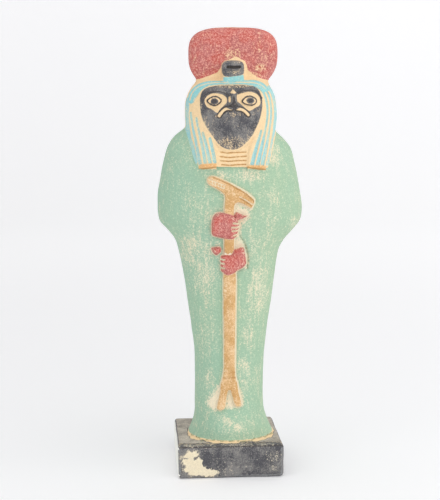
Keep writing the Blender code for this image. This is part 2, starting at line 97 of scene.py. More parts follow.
# %% The stations of the body and the wig
# height, reach to the left, right, front and back, and how square the section is in front and behind
BODY = (
    (-3.0, 21.9, 25.2, 24.4, 20.0, 2.2, 2.2),
    (0.0, 21.9, 25.2, 24.4, 20.0, 2.2, 2.2),
    (4.0, 20.7, 23.6, 24.6, 19.6, 2.1, 2.2),
    (9.0, 19.2, 21.5, 23.4, 18.8, 2.1, 2.2),
    (15.0, 18.5, 20.0, 20.8, 18.0, 2.2, 2.3),
    (26.0, 18.6, 19.4, 18.3, 17.2, 2.3, 2.4),
    (43.0, 18.8, 19.6, 17.2, 17.0, 2.3, 2.4),
    (60.0, 21.0, 21.2, 17.4, 17.6, 2.3, 2.4),
    (77.0, 23.4, 23.7, 18.2, 18.6, 2.3, 2.4),
    (91.0, 25.7, 25.2, 19.2, 19.3, 2.3, 2.4),
    (102.0, 28.3, 26.8, 20.4, 19.4, 2.3, 2.4),
    (108.0, 30.0, 29.8, 21.2, 19.2, 2.3, 2.4),
    (114.0, 34.6, 35.1, 21.8, 19.0, 2.2, 2.3),
    (119.0, 39.0, 38.8, 22.2, 19.0, 2.2, 2.3),
    (125.0, 40.0, 39.7, 22.3, 19.3, 2.2, 2.3),
    (132.0, 40.0, 38.8, 22.2, 19.8, 2.2, 2.3),
    (141.0, 38.8, 37.1, 21.6, 20.2, 2.2, 2.3),
    (151.0, 37.0, 34.8, 20.6, 20.0, 2.2, 2.3),
    (158.0, 35.1, 32.8, 19.2, 19.0, 2.2, 2.2),
    (163.0, 32.6, 28.8, 17.4, 17.4, 2.1, 2.1),
    (167.0, 28.6, 24.2, 15.2, 15.4, 2.0, 2.0),
    (170.5, 22.0, 18.0, 12.0, 12.4, 2.0, 2.0),
    (173.0, 12.0, 10.0, 7.0, 7.4, 2.0, 2.0),
)
WIG = (
    (148.3, 19.0, 18.9, 22.9, 21.8, 7.0, 5.0),
    (152.0, 20.0, 20.0, 23.0, 22.0, 7.0, 5.0),
    (158.0, 21.6, 21.4, 22.8, 21.8, 5.5, 4.2),
    (164.0, 23.4, 22.8, 22.2, 21.3, 4.0, 3.4),
    (170.0, 25.0, 24.1, 21.5, 20.8, 3.0, 2.8),
    (176.0, 25.5, 24.7, 21.0, 20.5, 2.7, 2.5),
    (182.0, 25.3, 24.3, 20.4, 19.8, 2.5, 2.4),
    (187.0, 24.0, 23.3, 18.9, 18.2, 2.5, 2.3),
    (191.0, 22.0, 21.3, 16.3, 15.6, 2.4, 2.3),
    (194.5, 19.0, 19.0, 12.0, 11.6, 2.3, 2.2),
    (196.5, 15.0, 15.0, 7.4, 7.2, 2.2, 2.2),
)


def between(stations, height):
    """The values of the stations at any heights: a smooth curve through them that never overshoots."""
    table = np.array(stations)
    levels, values = table[:, 0], table[:, 1:]
    rise = np.diff(values, axis=0) / np.diff(levels)[:, None]
    slope = np.zeros_like(values)
    same_way = rise[:-1] * rise[1:] > 0
    total = np.where(same_way, rise[:-1] + rise[1:], 1.0)
    slope[1:-1] = np.where(same_way, 2 * rise[:-1] * rise[1:] / total, 0.0)
    height = np.clip(np.asarray(height, float), levels[0], levels[-1])
    at = np.clip(np.searchsorted(levels, height, side="right") - 1, 0, len(levels) - 2)
    gap = (levels[at + 1] - levels[at])[..., None]
    share = (height - levels[at])[..., None] / gap
    start, end = values[at], values[at + 1]
    bend = slope[at] * share * (1 - share) ** 2 - slope[at + 1] * share**2 * (1 - share)
    return start + (end - start) * share**2 * (3 - 2 * share) + bend * gap


print("shoulders at 158:", np.round(between(BODY, 158.0)[:2], 1))
print("wig at 176:", np.round(between(WIG, 176.0)[:2], 1))

# %% [markdown]
# ## Raising a form
# Each rounded form starts as a filled circle at its lowest station. It is extruded upward in short steps, and
# after each step the new ring is laid to the section of its height. Resizing the ring with the transform
# operator would only ever give ellipses, and these sections are squarer than that and reach further to the
# front than to the back, so the points of the ring are placed by the section's own formula.

# %% Extrude rings through the stations
RING_STEP = 1.6


def select_only(*chosen):
    bpy.ops.object.select_all(action="DESELECT")
    for one in chosen:
        one.select_set(True)
    bpy.context.view_layer.objects.active = chosen[-1]


def lay_ring(form, height, section, side, middle):
    """Lays the selected ring on its section, a point at each even turn from the left round by the front."""
    left, right, front, back, front_round, back_round = section
    mesh = bmesh.from_edit_mesh(form.data)
    ring = [point for point in mesh.verts if point.select]
    centre = sum((point.co for point in ring), Vector()) / len(ring)
    ring.sort(key=lambda point: math.atan2(point.co.y - centre.y, point.co.x - centre.x))
    for number, point in enumerate(ring):
        turn = 2 * math.pi * (number + 0.5) / len(ring) - math.pi
        across, deep = math.cos(turn), math.sin(turn)
        power = 2 / (back_round if deep > 0 else front_round)
        across = math.copysign(abs(across) ** power, across) * (right if across > 0 else left)
        deep = math.copysign(abs(deep) ** power, deep) * (back if deep > 0 else front)
        point.co = place(side + across, middle + deep, height)
    bmesh.update_edit_mesh(form.data)


def open_form(name):
    """Names the new form, fixes it at its place and opens it for editing."""
    form = bpy.context.active_object
    form.name = name
    bpy.ops.object.transform_apply(location=True, rotation=True, scale=True)
    bpy.ops.object.mode_set(mode="EDIT")
    return form


def close_form(form, inside=False):
    """Turns all faces of a form outward, or inward, and ends the editing."""
    bpy.ops.mesh.select_all(action="SELECT")
    bpy.ops.mesh.normals_make_consistent(inside=inside)
    bpy.ops.object.mode_set(mode="OBJECT")
    print(form.name, "has", len(form.data.polygons), "faces")


def raise_form(name, section_at, low, high, sides=72, side=0.0, middle=0.0):
    """A closed form from one height to another. section_at gives the section of each height."""
    bpy.ops.object.select_all(action="DESELECT")
    foot = place(side, middle, low)
    bpy.ops.mesh.primitive_circle_add(vertices=sides, radius=PART, fill_type="NGON", location=foot)
    form = open_form(name)
    count = max(2, math.ceil((high - low) / RING_STEP))
    for level in range(count + 1):
        height = low + (high - low) * level / count
        lay_ring(form, height, section_at(height), side, middle)
        if level < count:
            bpy.ops.mesh.extrude_region_move(TRANSFORM_OT_translate={"value": (0.0, 0.0, 0.1 * PART)})
    close_form(form)
    return form


body = raise_form("body", lambda height: between(BODY, height), BODY[0][0], BODY[-1][0])
wig = raise_form("wig", lambda height: between(WIG, height), WIG[0][0], WIG[-1][0])

# %% [markdown]
# ## The face
# The falcon's face is a shallow egg that stands proud of the wig: broad over the brow, widest at the eyes and
# narrowing to the throat. It is raised the same way, from a formula instead of stations, because two curves
# that meet at the eyes describe it better than a list would. The beak is a small hooked form of its own.

# %% The egg of the face and the beak
FACE_SIDE = -1.3
FACE_HALF_WIDTH = 17.0
FACE_WIDEST = 181.0
FACE_TOP = 191.6
FACE_BOTTOM = 157.8
FACE_MIDDLE = -14.5
FACE_FRONT_BELOW = 21.9
FACE_FRONT_ABOVE = 16.6
FACE_BULGE = 4.2
BEAK = (
    (177.6, 2.6, 1.6, 2.0, 2.0, 2.0, 2.0),
    (179.0, 3.6, 2.4, 5.2, 2.0, 1.8, 2.0),
    (180.6, 3.8, 2.6, 7.0, 2.0, 1.6, 2.0),
    (182.6, 3.0, 1.8, 6.7, 2.0, 1.6, 2.0),
    (185.2, 2.2, 1.0, 5.2, 2.0, 1.7, 2.0),
    (188.0, 1.9, 0.6, 3.4, 2.0, 1.8, 2.0),
    (190.2, 1.5, 0.2, 1.2, 2.0, 2.0, 2.0),
)


def face_half_width(height):
    """Half the face's width at a height: one curve above the eyes and a more pointed one below."""
    above = np.clip((height - FACE_WIDEST) / (FACE_TOP - FACE_WIDEST), 0, 1)
    below = np.clip((FACE_WIDEST - height) / (FACE_WIDEST - FACE_BOTTOM), 0, 1)
    upper = (1 - above**2.8) ** (1 / 2.8)
    lower = (1 - below**1.9) ** (1 / 1.6)
    return FACE_HALF_WIDTH * np.where(height > FACE_WIDEST, upper, lower)


def face_section(height):
    share = (height - FACE_BOTTOM) / (FACE_TOP - FACE_BOTTOM)
    half = float(face_half_width(height))
    slope = FACE_FRONT_BELOW + (FACE_FRONT_ABOVE - FACE_FRONT_BELOW) * share
    front = slope + FACE_BULGE * math.sin(math.pi * share) ** 0.5
    return half, half, front + FACE_MIDDLE, 6.0, 2.6, 2.0


face = raise_form("face", face_section, FACE_BOTTOM + 0.3, FACE_TOP - 0.2, 48, FACE_SIDE, FACE_MIDDLE)
beak = raise_form("beak", lambda height: between(BEAK, height), BEAK[0][0], BEAK[-1][0], 24, 0.0, -20.0)

# %% [markdown]
# ## The sun disc
# The disc is a wide cushion shape, squarer above than below, with a softly rounded rim. Its outline is a
# circle laid to a superellipse. The thickness then comes from a few extrusions from back to front, each
# one resized about the disc's centre: small at the back, full in the middle and small again at the front, so
# the rim is round and both faces swell a little.

# %% Extrude the disc from back to front
DISC_SIDE = 0.5
DISC_HEIGHT = 208.0
DISC_HALF_WIDTH = 24.4
DISC_UPPER = 15.0
DISC_LOWER = 18.0
DISC_HALF_THICKNESS = 7.0
# place between the back (1) and the front (-1), and the outline's size there
DISC_PROFILE = (
    (0.98, 0.55), (0.92, 0.74), (0.82, 0.85), (0.66, 0.93), (0.42, 0.98), (0.0, 1.0),
    (-0.42, 0.985), (-0.66, 0.94), (-0.82, 0.87), (-0.92, 0.78), (-0.98, 0.62), (-1.0, 0.4),
)


def disc_edge(turn):
    """The disc's outline at a turn, as side and height from its centre."""
    across, up = math.cos(turn), math.sin(turn)
    power = 2 / (3.2 if up > 0 else 2.6)
    tall = DISC_UPPER if up > 0 else DISC_LOWER
    return (
        math.copysign(abs(across) ** power, across) * DISC_HALF_WIDTH,
        math.copysign(abs(up) ** power, up) * tall,
    )


def lay_disc_outline(form):
    """Lays the selected circle to the disc's outline."""
    mesh = bmesh.from_edit_mesh(form.data)
    middle = place(DISC_SIDE, 0, DISC_HEIGHT)
    for point in mesh.verts:
        side, height = disc_edge(math.atan2(point.co.z - middle.z, point.co.x - middle.x))
        point.co = place(DISC_SIDE + side, point.co.y / PART, DISC_HEIGHT + height)
    bmesh.update_edit_mesh(form.data)


bpy.ops.object.select_all(action="DESELECT")
disc_middle = place(DISC_SIDE, 0, DISC_HEIGHT)
bpy.ops.mesh.primitive_circle_add(
    vertices=120, radius=DISC_LOWER * PART, fill_type="NGON", rotation=(math.pi / 2, 0, 0),
    location=disc_middle + Vector((0, DISC_HALF_THICKNESS * PART * DISC_PROFILE[0][0], 0)),
)
disc = open_form("sun_disc")
lay_disc_outline(disc)
width, last_y = 1.0, None
for depth, share in DISC_PROFILE:
    y = depth * DISC_HALF_THICKNESS * PART
    if last_y is not None:
        bpy.ops.mesh.extrude_region_move(TRANSFORM_OT_translate={"value": (0, y - last_y, 0)})
    grow = share / width
    bpy.ops.transform.resize(value=(grow, 1, grow), center_override=disc_middle)
    width, last_y = share, y
close_form(disc)

# %% [markdown]
# ## The blocks: plinth, cobra and its neck
# These three are boxes with soft edges. A cube is added at its place, made its real size, and its edges are
# bevelled in edit mode. The rearing cobra over the brow is worn to a rounded knob on a short, bright neck.

# %% Bevelled blocks
PLINTH_WIDTH = 0.057
PLINTH_DEPTH = 0.061


def add_block(name, low, high, edge):
    bpy.ops.object.select_all(action="DESELECT")
    bpy.ops.mesh.primitive_cube_add(size=1.0, location=(low + high) / 2)
    bpy.context.active_object.dimensions = high - low
    made = open_form(name)
    bpy.ops.mesh.bevel(offset=edge * PART, segments=4, affect="EDGES")
    bpy.ops.object.mode_set(mode="OBJECT")
    return made


half_plinth = Vector((PLINTH_WIDTH / 2, PLINTH_DEPTH / 2, 0.0))
# the smoothing takes this much off each side again
spare = Vector((0.00025, 0.0, 0.0))
plinth = add_block("plinth", -half_plinth - spare, half_plinth + spare + Vector((0, 0, PLINTH_HEIGHT)), 0.8)
knob = add_block("cobra", place(-6.6, -16.6, 196.2), place(5.6, -4.0, 204.7), 2.6)
neck = add_block("cobra_neck", place(-5.7, -16.0, 190.0), place(5.4, -4.0, 198.0), 1.2)
print("blocks:", plinth.name, knob.name, neck.name)

# %% [markdown]
# ## One skin
# The forms run into each other like lumps of clay. The Remesh modifier in voxel mode makes one closed skin of
# even quads out of all of them, and drops what is inside. A Boolean union would keep sharper seams, but its
# long thin triangles would show in the relief that is carved next. A light smoothing takes away the steps of
# the voxels and leaves the seams slightly worn, as on the real figure.

# %% Join and remesh
VOXEL = 1.2

select_only(body, wig, face, beak, disc, plinth, knob, neck)
bpy.ops.object.join()
statue = bpy.context.active_object
statue.name = "carved_figure"
statue.data.name = "carved_figure"


def finish_modifier(form, name, kind, **settings):
    """Adds a modifier, sets it and applies it."""
    change = form.modifiers.new(name, kind)
    for setting, value in settings.items():
        setattr(change, setting, value)
    select_only(form)
    bpy.ops.object.modifier_apply(modifier=name)


finish_modifier(statue, "one skin", "REMESH", mode="VOXEL", voxel_size=VOXEL * PART, use_smooth_shade=True)
finish_modifier(statue, "soften", "SMOOTH", factor=0.5, iterations=3)
print("one skin of", len(statue.data.polygons), "faces")

# %% [markdown]
# ## Distances to the drawing
# Carving and painting both follow the drawing on the front of the block, so both start from the same numbers:
# for each point, how far it lies inside (positive) or outside (negative) an outline. A distance is a better
# thing to keep than a yes or no, because a wall can be given a slope, a painted edge can be worn back, and
# between two points of the mesh it still changes evenly.

# %% Signed distances to outlines and lines
def from_line(line, side, height):
    """How far points lie from a line of straight pieces."""
    best = np.full(side.shape, 1e6)
    for (x0, y0), (x1, y1) in zip(line, line[1:]):
        dx, dy = x1 - x0, y1 - y0
        along = np.clip(((side - x0) * dx + (height - y0) * dy) / (dx * dx + dy * dy), 0, 1)
        best = np.minimum(best, np.hypot(side - x0 - along * dx, height - y0 - along * dy))
    return best


def reach(outline, side, height):
    """How far points lie inside a closed outline, in parts. Outside, the distance is negative."""
    line = outline + outline[:1]
    inside = np.zeros(side.shape, bool)
    for (x0, y0), (x1, y1) in zip(line, line[1:]):
        if y0 != y1:
            inside ^= ((y0 > height) != (y1 > height)) & (side < x0 + (height - y0) * (x1 - x0) / (y1 - y0))
    best = from_line(line, side, height)
    return np.where(inside, best, -best)


def rounded(points, closed=True, times=1):
    """Cuts the corners of an outline or a line, as a blade does: each cut halves the angles."""
    for _ in range(times):
        ends = points[1:] + points[:1] if closed else points[1:]
        cut = []
        for (x0, y0), (x1, y1) in zip(points, ends):
            cut += [(0.75 * x0 + 0.25 * x1, 0.75 * y0 + 0.25 * y1)]
            cut += [(0.25 * x0 + 0.75 * x1, 0.25 * y0 + 0.75 * y1)]
        points = cut if closed else [points[0]] + cut[1:-1] + [points[-1]]
    return points


def soft_line(points):
    return rounded(points, closed=False, times=2)


def step(value, low, high):
    """0 below low, 1 above high, and an even curve between them."""
    share = np.clip((value - low) / (high - low), 0, 1)
    return share * share * (3 - 2 * share)


def union(*reaches):
    return np.maximum.reduce(reaches)


def form_reach(stations, side, depth, height):
    """How far points lie inside a raised form, measured level."""
    left, right, front, back, front_round, back_round = between(stations, height).T
    half = np.where(side > 0, right, left)
    deep = np.where(depth > 0, back, front)
    roundness = np.where(depth > 0, back_round, front_round)
    size = (np.abs(side / half) ** roundness + np.abs(depth / deep) ** roundness) ** (1 / roundness)
    level = (1 - size) * np.hypot(side, depth) / np.maximum(size, 1e-3)
    return np.minimum(level, np.minimum(height - stations[0][0], stations[-1][0] - height))


# %% [markdown]
# ## The drawing
# These are the outlines of everything that is cut into the front, as a carver would draw them: the staff with
# its slanting animal head and forked foot, the two hands, the eyes, brows and beak of the falcon, the wig's
# stripes, band and bars, and the ribbed collar. Most outlines have their corners cut once, and soft lines
# twice.

# %% The staff and the hands
STAFF = rounded([
    (-14.5, 141.3), (-13.6, 143.4), (-10.8, 144.2), (-7.2, 142.8), (-1.3, 139.9), (5.8, 136.1), (9.7, 133.2),
    (11.9, 130.8), (10.2, 126.2), (8.9, 126.1), (4.3, 128.9), (1.8, 129.4), (0.7, 127.6), (0.8, 118.0),
    (1.2, 104.0), (2.3, 91.0), (2.5, 78.0), (2.7, 44.0), (2.6, 37.6), (3.0, 33.6), (4.1, 31.0), (4.4, 27.2),
    (6.5, 19.8), (5.8, 18.4), (3.4, 18.2), (2.0, 19.0), (0.7, 23.6), (-0.8, 28.3), (-2.2, 23.4),
    (-2.6, 18.4), (-4.0, 16.8), (-7.0, 16.6), (-7.9, 18.2), (-6.9, 22.2), (-5.9, 27.1), (-5.8, 30.6),
    (-4.8, 33.8), (-4.1, 37.4), (-4.0, 44.0), (-4.8, 78.0), (-4.9, 91.0), (-4.8, 104.0), (-5.3, 123.0),
    (-5.2, 128.5), (-4.7, 133.2), (-6.6, 135.4), (-9.9, 137.5), (-13.0, 139.0),
])
STAFF_LINES = [
    soft_line([(-11.0, 143.0), (-6.7, 141.4), (-1.3, 138.8), (5.8, 134.8), (10.6, 130.4)]),
    [(3.4, 131.8), (6.4, 130.1), (9.4, 128.0)],
    [(-3.6, 37.0), (-0.7, 36.8), (2.2, 37.1)],
    [(-3.9, 34.2), (-0.6, 33.9), (2.6, 34.4)],
]
STAFF_TICKS = [
    [(-12.9 + 1.55 * tick, 141.9 - 0.62 * tick), (-12.5 + 1.5 * tick, 140.1 - 0.55 * tick)]
    for tick in range(6)
]
STAFF_PALE_LINES = [
    [(-13.4, 142.2), (-4.6, 138.8)], [(-12.6, 140.2), (-5.2, 137.2)],
    [(3.1, 132.8), (6.6, 130.9), (10.0, 128.7)],
]
UPPER_HAND = rounded([
    (-11.0, 112.4), (-11.3, 116.6), (-11.0, 121.0), (-10.0, 123.3), (-8.0, 124.4), (-4.6, 124.1),
    (-0.6, 123.0), (1.4, 122.0), (2.6, 120.4), (2.8, 118.8), (3.4, 117.6), (2.7, 116.4), (3.2, 115.6),
    (2.4, 114.4), (2.4, 113.0), (1.6, 111.2), (-0.6, 110.3), (-3.2, 110.6), (-6.3, 111.1), (-9.0, 111.7),
])
UPPER_THUMBS = [
    rounded([(-1.5, 122.4), (1.6, 121.9), (4.6, 122.8), (7.6, 123.0), (7.6, 122.2), (4.2, 120.6),
             (0.9, 119.6), (-2.0, 119.6)]),
    [(0.2, 122.4), (1.4, 124.6), (3.0, 124.2), (5.2, 123.0), (4.4, 121.6), (1.4, 121.2)],
]
UPPER_GAPS = [
    [(0.0, 118.9), (2.4, 118.5), (4.4, 119.0)], [(-0.8, 116.6), (1.6, 116.6), (4.2, 117.0)],
    [(-0.6, 114.7), (1.6, 114.9), (4.0, 115.4)], [(0.4, 112.3), (2.0, 112.8), (3.6, 113.6)],
]
LOWER_HAND = rounded([
    (-5.9, 101.3), (-3.6, 101.5), (-0.8, 101.4), (0.3, 102.8), (0.8, 104.4), (2.6, 105.2), (4.8, 106.0),
    (6.1, 105.4), (6.8, 102.4), (7.5, 99.0), (7.6, 96.4), (6.2, 94.9), (4.0, 93.8), (1.0, 92.1),
    (-2.2, 90.7), (-3.9, 91.4), (-5.3, 92.5), (-6.1, 93.6), (-5.4, 94.6), (-6.2, 95.8), (-5.6, 97.1),
    (-6.4, 98.3), (-5.8, 99.4), (-6.2, 100.3),
])
LOWER_THUMB = rounded([
    (-11.4, 105.4), (-9.0, 105.6), (-6.8, 106.0), (-6.2, 103.8), (-7.2, 102.4), (-9.0, 101.4),
    (-10.9, 104.0),
])
LOWER_GAPS = [
    [(-4.4, 99.2), (-7.2, 99.3)], [(-4.5, 96.9), (-7.2, 97.0)], [(-4.3, 94.5), (-7.0, 94.6)],
]
SLEEVE_LINE = soft_line([(3.6, 111.8), (5.8, 108.8), (7.6, 104.4), (8.5, 99.5), (8.1, 94.0)])
BARE_BY_THE_HANDS = (
    rounded([(0.9, 128.4), (2.2, 129.2), (4.6, 128.5), (8.0, 126.1), (8.5, 122.0), (7.0, 121.0),
             (1.0, 121.0)]),
    rounded([(1.0, 122.0), (7.9, 122.4), (7.0, 120.6), (4.6, 118.4), (4.0, 115.9), (3.6, 112.1),
             (1.4, 109.9)]),
    rounded([(1.0, 110.2), (3.2, 110.6), (4.6, 108.8), (6.4, 105.8), (6.0, 104.0), (0.9, 104.0)]),
    rounded([(-5.6, 101.0), (-5.4, 104.0), (-3.0, 102.8), (1.2, 103.4), (1.4, 101.0)]),
    rounded([(6.6, 105.4), (8.0, 101.0), (8.5, 96.6), (7.2, 94.2), (6.0, 94.4), (6.4, 100.0)]),
)
BARE_BY_THE_FORK = (
    rounded([(-6.2, 30.4), (-8.1, 26.4), (-11.6, 22.2), (-12.6, 18.8), (-8.0, 16.2), (-3.6, 17.4),
             (-5.4, 24.0)]),
    rounded([(-0.8, 28.4), (-2.8, 18.4), (-0.4, 17.8), (3.6, 18.2), (0.6, 24.0)]),
    rounded([(4.6, 30.2), (7.1, 21.8), (7.0, 19.0), (5.8, 18.4), (4.6, 24.6)]),
)
print("the staff has", len(STAFF), "points and the upper hand", len(UPPER_HAND))

# %% The face, the wig and the collar
FACE = rounded([
    (-16.5, 189.6), (-11.4, 191.3), (-1.1, 191.7), (5.8, 191.7), (11.7, 190.9), (14.3, 187.6), (15.4, 182.5),
    (14.8, 176.9), (12.0, 169.5), (8.7, 163.6), (3.2, 158.4), (-1.8, 157.4), (-7.2, 159.1), (-11.3, 164.5),
    (-14.8, 169.6), (-17.1, 174.2), (-18.2, 179.8), (-18.1, 185.5),
])
EYES = (
    rounded([(-14.9, 183.3), (-13.2, 184.9), (-10.6, 185.9), (-8.4, 185.2), (-6.7, 183.6), (-8.6, 181.4),
             (-10.7, 180.7), (-13.0, 181.5)]),
    rounded([(3.5, 182.8), (5.2, 184.9), (7.6, 186.0), (10.3, 185.2), (12.1, 183.5), (11.0, 181.6),
             (9.0, 180.8), (6.0, 181.3)]),
)
PUPILS = ((-10.7, 183.1, 2.05, 1.6), (8.4, 183.4, 2.1, 1.65))
EYE_GROUNDS = (
    rounded([(-15.9, 182.6), (-15.2, 185.2), (-12.9, 186.9), (-10.2, 187.4), (-7.0, 186.9), (-4.5, 185.6),
             (-3.9, 182.7), (-5.9, 180.7), (-8.0, 178.8), (-9.2, 176.6), (-11.8, 179.1), (-14.4, 179.9)]),
    rounded([(1.6, 186.6), (4.8, 187.5), (8.1, 188.1), (11.3, 187.5), (13.4, 185.5), (14.2, 183.0),
             (13.7, 180.9), (11.4, 179.8), (8.7, 178.2), (7.2, 178.1), (4.4, 180.6), (1.6, 183.0)]),
)
BROWS = (
    soft_line([(-17.0, 182.4), (-16.1, 186.0), (-13.6, 187.9), (-9.4, 188.5), (-6.4, 187.9), (-3.6, 186.6)]),
    soft_line([(1.4, 187.6), (4.6, 188.5), (8.6, 189.2), (12.3, 188.1), (14.6, 184.8)]),
)
GAPES = (
    soft_line([(-1.9, 179.2), (-4.4, 179.3), (-6.4, 178.0), (-8.2, 175.5)]),
    soft_line([(1.2, 179.1), (3.6, 178.8), (5.6, 177.7), (7.2, 175.9)]),
)
CERE = [(-1.0, 189.4), (-2.5, 187.5), (-0.8, 186.9), (0.9, 187.5)]
NOSTRILS = ((-2.75, 184.1, 0.55, 1.5), (1.75, 184.7, 0.6, 1.9))
BEAK_RIDGE = rounded([
    (-0.9, 187.6), (-2.3, 185.6), (-2.2, 182.8), (-4.0, 181.8), (-5.6, 180.6), (-3.0, 178.9), (-0.6, 178.4),
    (1.4, 178.9), (3.6, 180.2), (2.4, 182.0), (1.2, 182.8), (1.0, 185.4),
])
COBRA = rounded([
    (-6.6, 200.6), (-6.5, 202.6), (-4.9, 204.5), (-0.3, 205.1), (3.7, 204.5), (5.7, 202.5), (5.8, 199.0),
    (4.7, 196.9), (0.0, 196.2), (-4.3, 195.7), (-6.3, 197.4),
])
COBRA_MOUTH = [(-3.4, 201.1), (0.0, 200.9), (2.8, 201.1)]
NECK = [(-5.7, 195.9), (-0.3, 196.4), (5.1, 197.0), (5.7, 193.6), (-0.2, 192.9), (-5.8, 193.2)]
BAND_TOP = soft_line([
    (-22.6, 181.7), (-23.7, 182.6), (-24.0, 185.0), (-22.9, 188.2), (-20.6, 191.0), (-17.6, 193.1),
    (-13.0, 194.0), (-7.0, 193.9), (0.0, 194.0), (6.4, 194.3), (12.0, 194.5), (15.8, 193.3), (18.6, 191.0),
    (19.9, 189.0),
])
BAND_LOW = soft_line([
    (15.4, 187.3), (13.6, 189.4), (10.6, 190.9), (6.2, 191.8), (-0.4, 191.9), (-7.1, 191.9), (-13.2, 191.4),
    (-16.6, 189.7), (-18.6, 187.3), (-20.2, 184.8), (-21.4, 182.4),
])
BAND_SPLIT = soft_line([
    (-22.9, 183.6), (-21.8, 187.4), (-18.9, 190.9), (-13.2, 192.8), (-5.0, 193.0), (5.0, 193.1),
    (11.6, 192.9), (15.4, 191.5), (17.4, 189.4), (19.0, 187.0),
])
LEFT_STRIPES = [
    [(-24.6, 184.0), (-25.0, 176.0), (-24.5, 170.5), (-23.8, 166.1), (-22.8, 162.2), (-21.3, 157.2),
     (-20.1, 151.1)],
    [(-22.8, 177.1), (-22.0, 171.0), (-20.7, 164.4), (-19.2, 157.2), (-17.8, 150.0)],
    [(-19.9, 174.3), (-18.8, 168.2), (-17.3, 162.1), (-16.1, 156.0), (-15.0, 150.2)],
    [(-16.6, 166.6), (-15.4, 162.7), (-13.9, 156.0), (-12.5, 150.2)],
    [(-12.8, 163.6), (-11.3, 157.2), (-10.2, 151.0)],
]
RIGHT_STRIPES = [
    [(19.8, 190.6), (21.8, 187.0), (23.0, 181.3), (23.2, 175.8), (22.6, 169.7), (21.2, 163.6), (19.7, 156.9),
     (18.2, 150.0)],
    [(17.2, 189.4), (19.3, 185.8), (20.2, 180.2), (20.1, 174.2), (19.0, 167.5), (17.6, 160.8), (16.1, 154.7),
     (15.1, 149.4)],
    [(15.6, 188.5), (17.4, 184.1), (18.2, 178.6), (17.7, 172.5), (16.5, 167.0), (14.9, 160.3), (13.5, 154.2),
     (12.5, 149.2)],
    [(14.4, 167.6), (12.6, 161.6), (10.9, 155.9), (9.5, 149.4)],
]
STRIPES = [rounded(stripe, closed=False) for stripe in LEFT_STRIPES + RIGHT_STRIPES]
BARS = (
    rounded([(-18.6, 147.2), (-18.5, 149.8), (-13.8, 150.3), (-9.3, 150.6), (-9.1, 149.6), (-9.4, 148.2)]),
    rounded([(7.0, 147.8), (7.0, 149.5), (12.0, 149.3), (16.9, 149.1), (17.4, 147.8), (17.2, 146.5)]),
)
COLLAR = [
    (7.4, 148.0), (7.5, 152.0), (8.4, 159.0), (10.5, 164.0), (-11.5, 164.0), (-9.6, 159.0), (-9.1, 152.0),
    (-9.0, 148.0),
]
COLLAR_LINES = [
    [(-7.2, 156.5), (-3.4, 155.9), (1.0, 156.2), (6.3, 156.4)],
    [(-7.4, 154.1), (-2.9, 153.5), (2.0, 153.9), (6.5, 154.2)],
    [(-7.3, 151.9), (-2.8, 151.5), (2.2, 151.9), (6.4, 151.9)],
    [(-6.5, 149.8), (-2.4, 149.4), (2.0, 149.7), (6.2, 149.9)],
]
BARE_CHEST = [(-9.0, 143.0), (7.0, 143.0), (7.2, 148.2), (-9.1, 148.6)]
print("the wig has", len(STRIPES), "drawn stripes and the collar", len(COLLAR_LINES), "lines")

# %% [markdown]
# ## A finer skin where the carving is
# Even quads of just over a millimetre are enough for the smooth back, but not for a finger gap half a
# millimetre wide. So the faces near the drawing are selected by their place, and the subdivide operator
# splits them, twice where the finest lines are. The rest of the skin stays coarse, which keeps the whole
# piece light.

# %% Subdivide near the drawing
def points_of(mesh, kind="vertices", field="co"):
    found = np.empty(len(getattr(mesh, kind)) * 3, np.float32)
    getattr(mesh, kind).foreach_get(field, found)
    return found.reshape(-1, 3).astype(float)


def box(left, right, low, high):
    return [(left, low), (right, low), (right, high), (left, high)]


def closeness(side, height, coarse):
    """Positive where the drawing is near. The coarse pass takes in more than the fine one."""
    near = 2.6 if coarse else 0.9
    edges = [STAFF, UPPER_HAND, LOWER_HAND, LOWER_THUMB] + UPPER_THUMBS
    found = [near - np.abs(reach(outline, side, height)) for outline in edges]
    hands, collar, cobra = box(-12, 9, 89, 126), box(-19, 18, 146, 158), box(-8, 8, 192, 206)
    found += [reach(area, side, height) for area in (hands, collar, cobra)]
    face_core = reach(FACE, side, height) + (2.0 if coarse else 0.6)
    wig_front = reach(box(-30, 30, 145, 206), side, height)
    wig_lines = union(*[near - from_line(line, side, height) for line in STRIPES + [BAND_TOP, BAND_LOW]])
    thin_lines = union(*[0.6 - from_line(line, side, height) for line in STAFF_TICKS + STAFF_PALE_LINES])
    areas = [face_core, wig_front] if coarse else [np.minimum(face_core, height - 172), wig_lines]
    return union(thin_lines, *found, *areas)


def split_faces(form, coarse):
    centres = points_of(form.data, "polygons", "center")
    facing = points_of(form.data, "polygons", "normal")[:, 1]
    side, depth, height = parts_of(centres)
    chosen = (closeness(side, height, coarse) > 0) & (facing < (-0.05 if coarse else -0.25)) & (depth < -3)
    select_only(form)
    bpy.context.tool_settings.mesh_select_mode = (False, False, True)
    bpy.ops.object.mode_set(mode="EDIT")
    bpy.ops.mesh.select_all(action="DESELECT")
    bpy.ops.object.mode_set(mode="OBJECT")
    form.data.polygons.foreach_set("select", chosen)
    bpy.ops.object.mode_set(mode="EDIT")
    bpy.ops.mesh.subdivide(number_cuts=1, smoothness=0.0)
    bpy.ops.mesh.vertices_smooth(factor=0.5, repeat=2)
    bpy.ops.object.mode_set(mode="OBJECT")
    print("split", int(chosen.sum()), "faces, which makes", len(form.data.polygons))


split_faces(statue, coarse=True)
split_faces(statue, coarse=False)

# %% [markdown]
# ## Where each point lies
# All distances are worked out once for the points of the skin. Which form a point belongs to follows from how
# deep it lies in each: a point on the wig's surface is outside the body there, and the other way round.

# %% Distances for every point
side, depth, height = parts_of(points_of(statue.data))
normals = points_of(statue.data, "vertices", "normal")
in_front = step(-depth, 3.0, 8.0)
behind_is_far = -40.0 * (depth > -3.0)
# stands for a place far outside a shape
OUTSIDE = -20.0


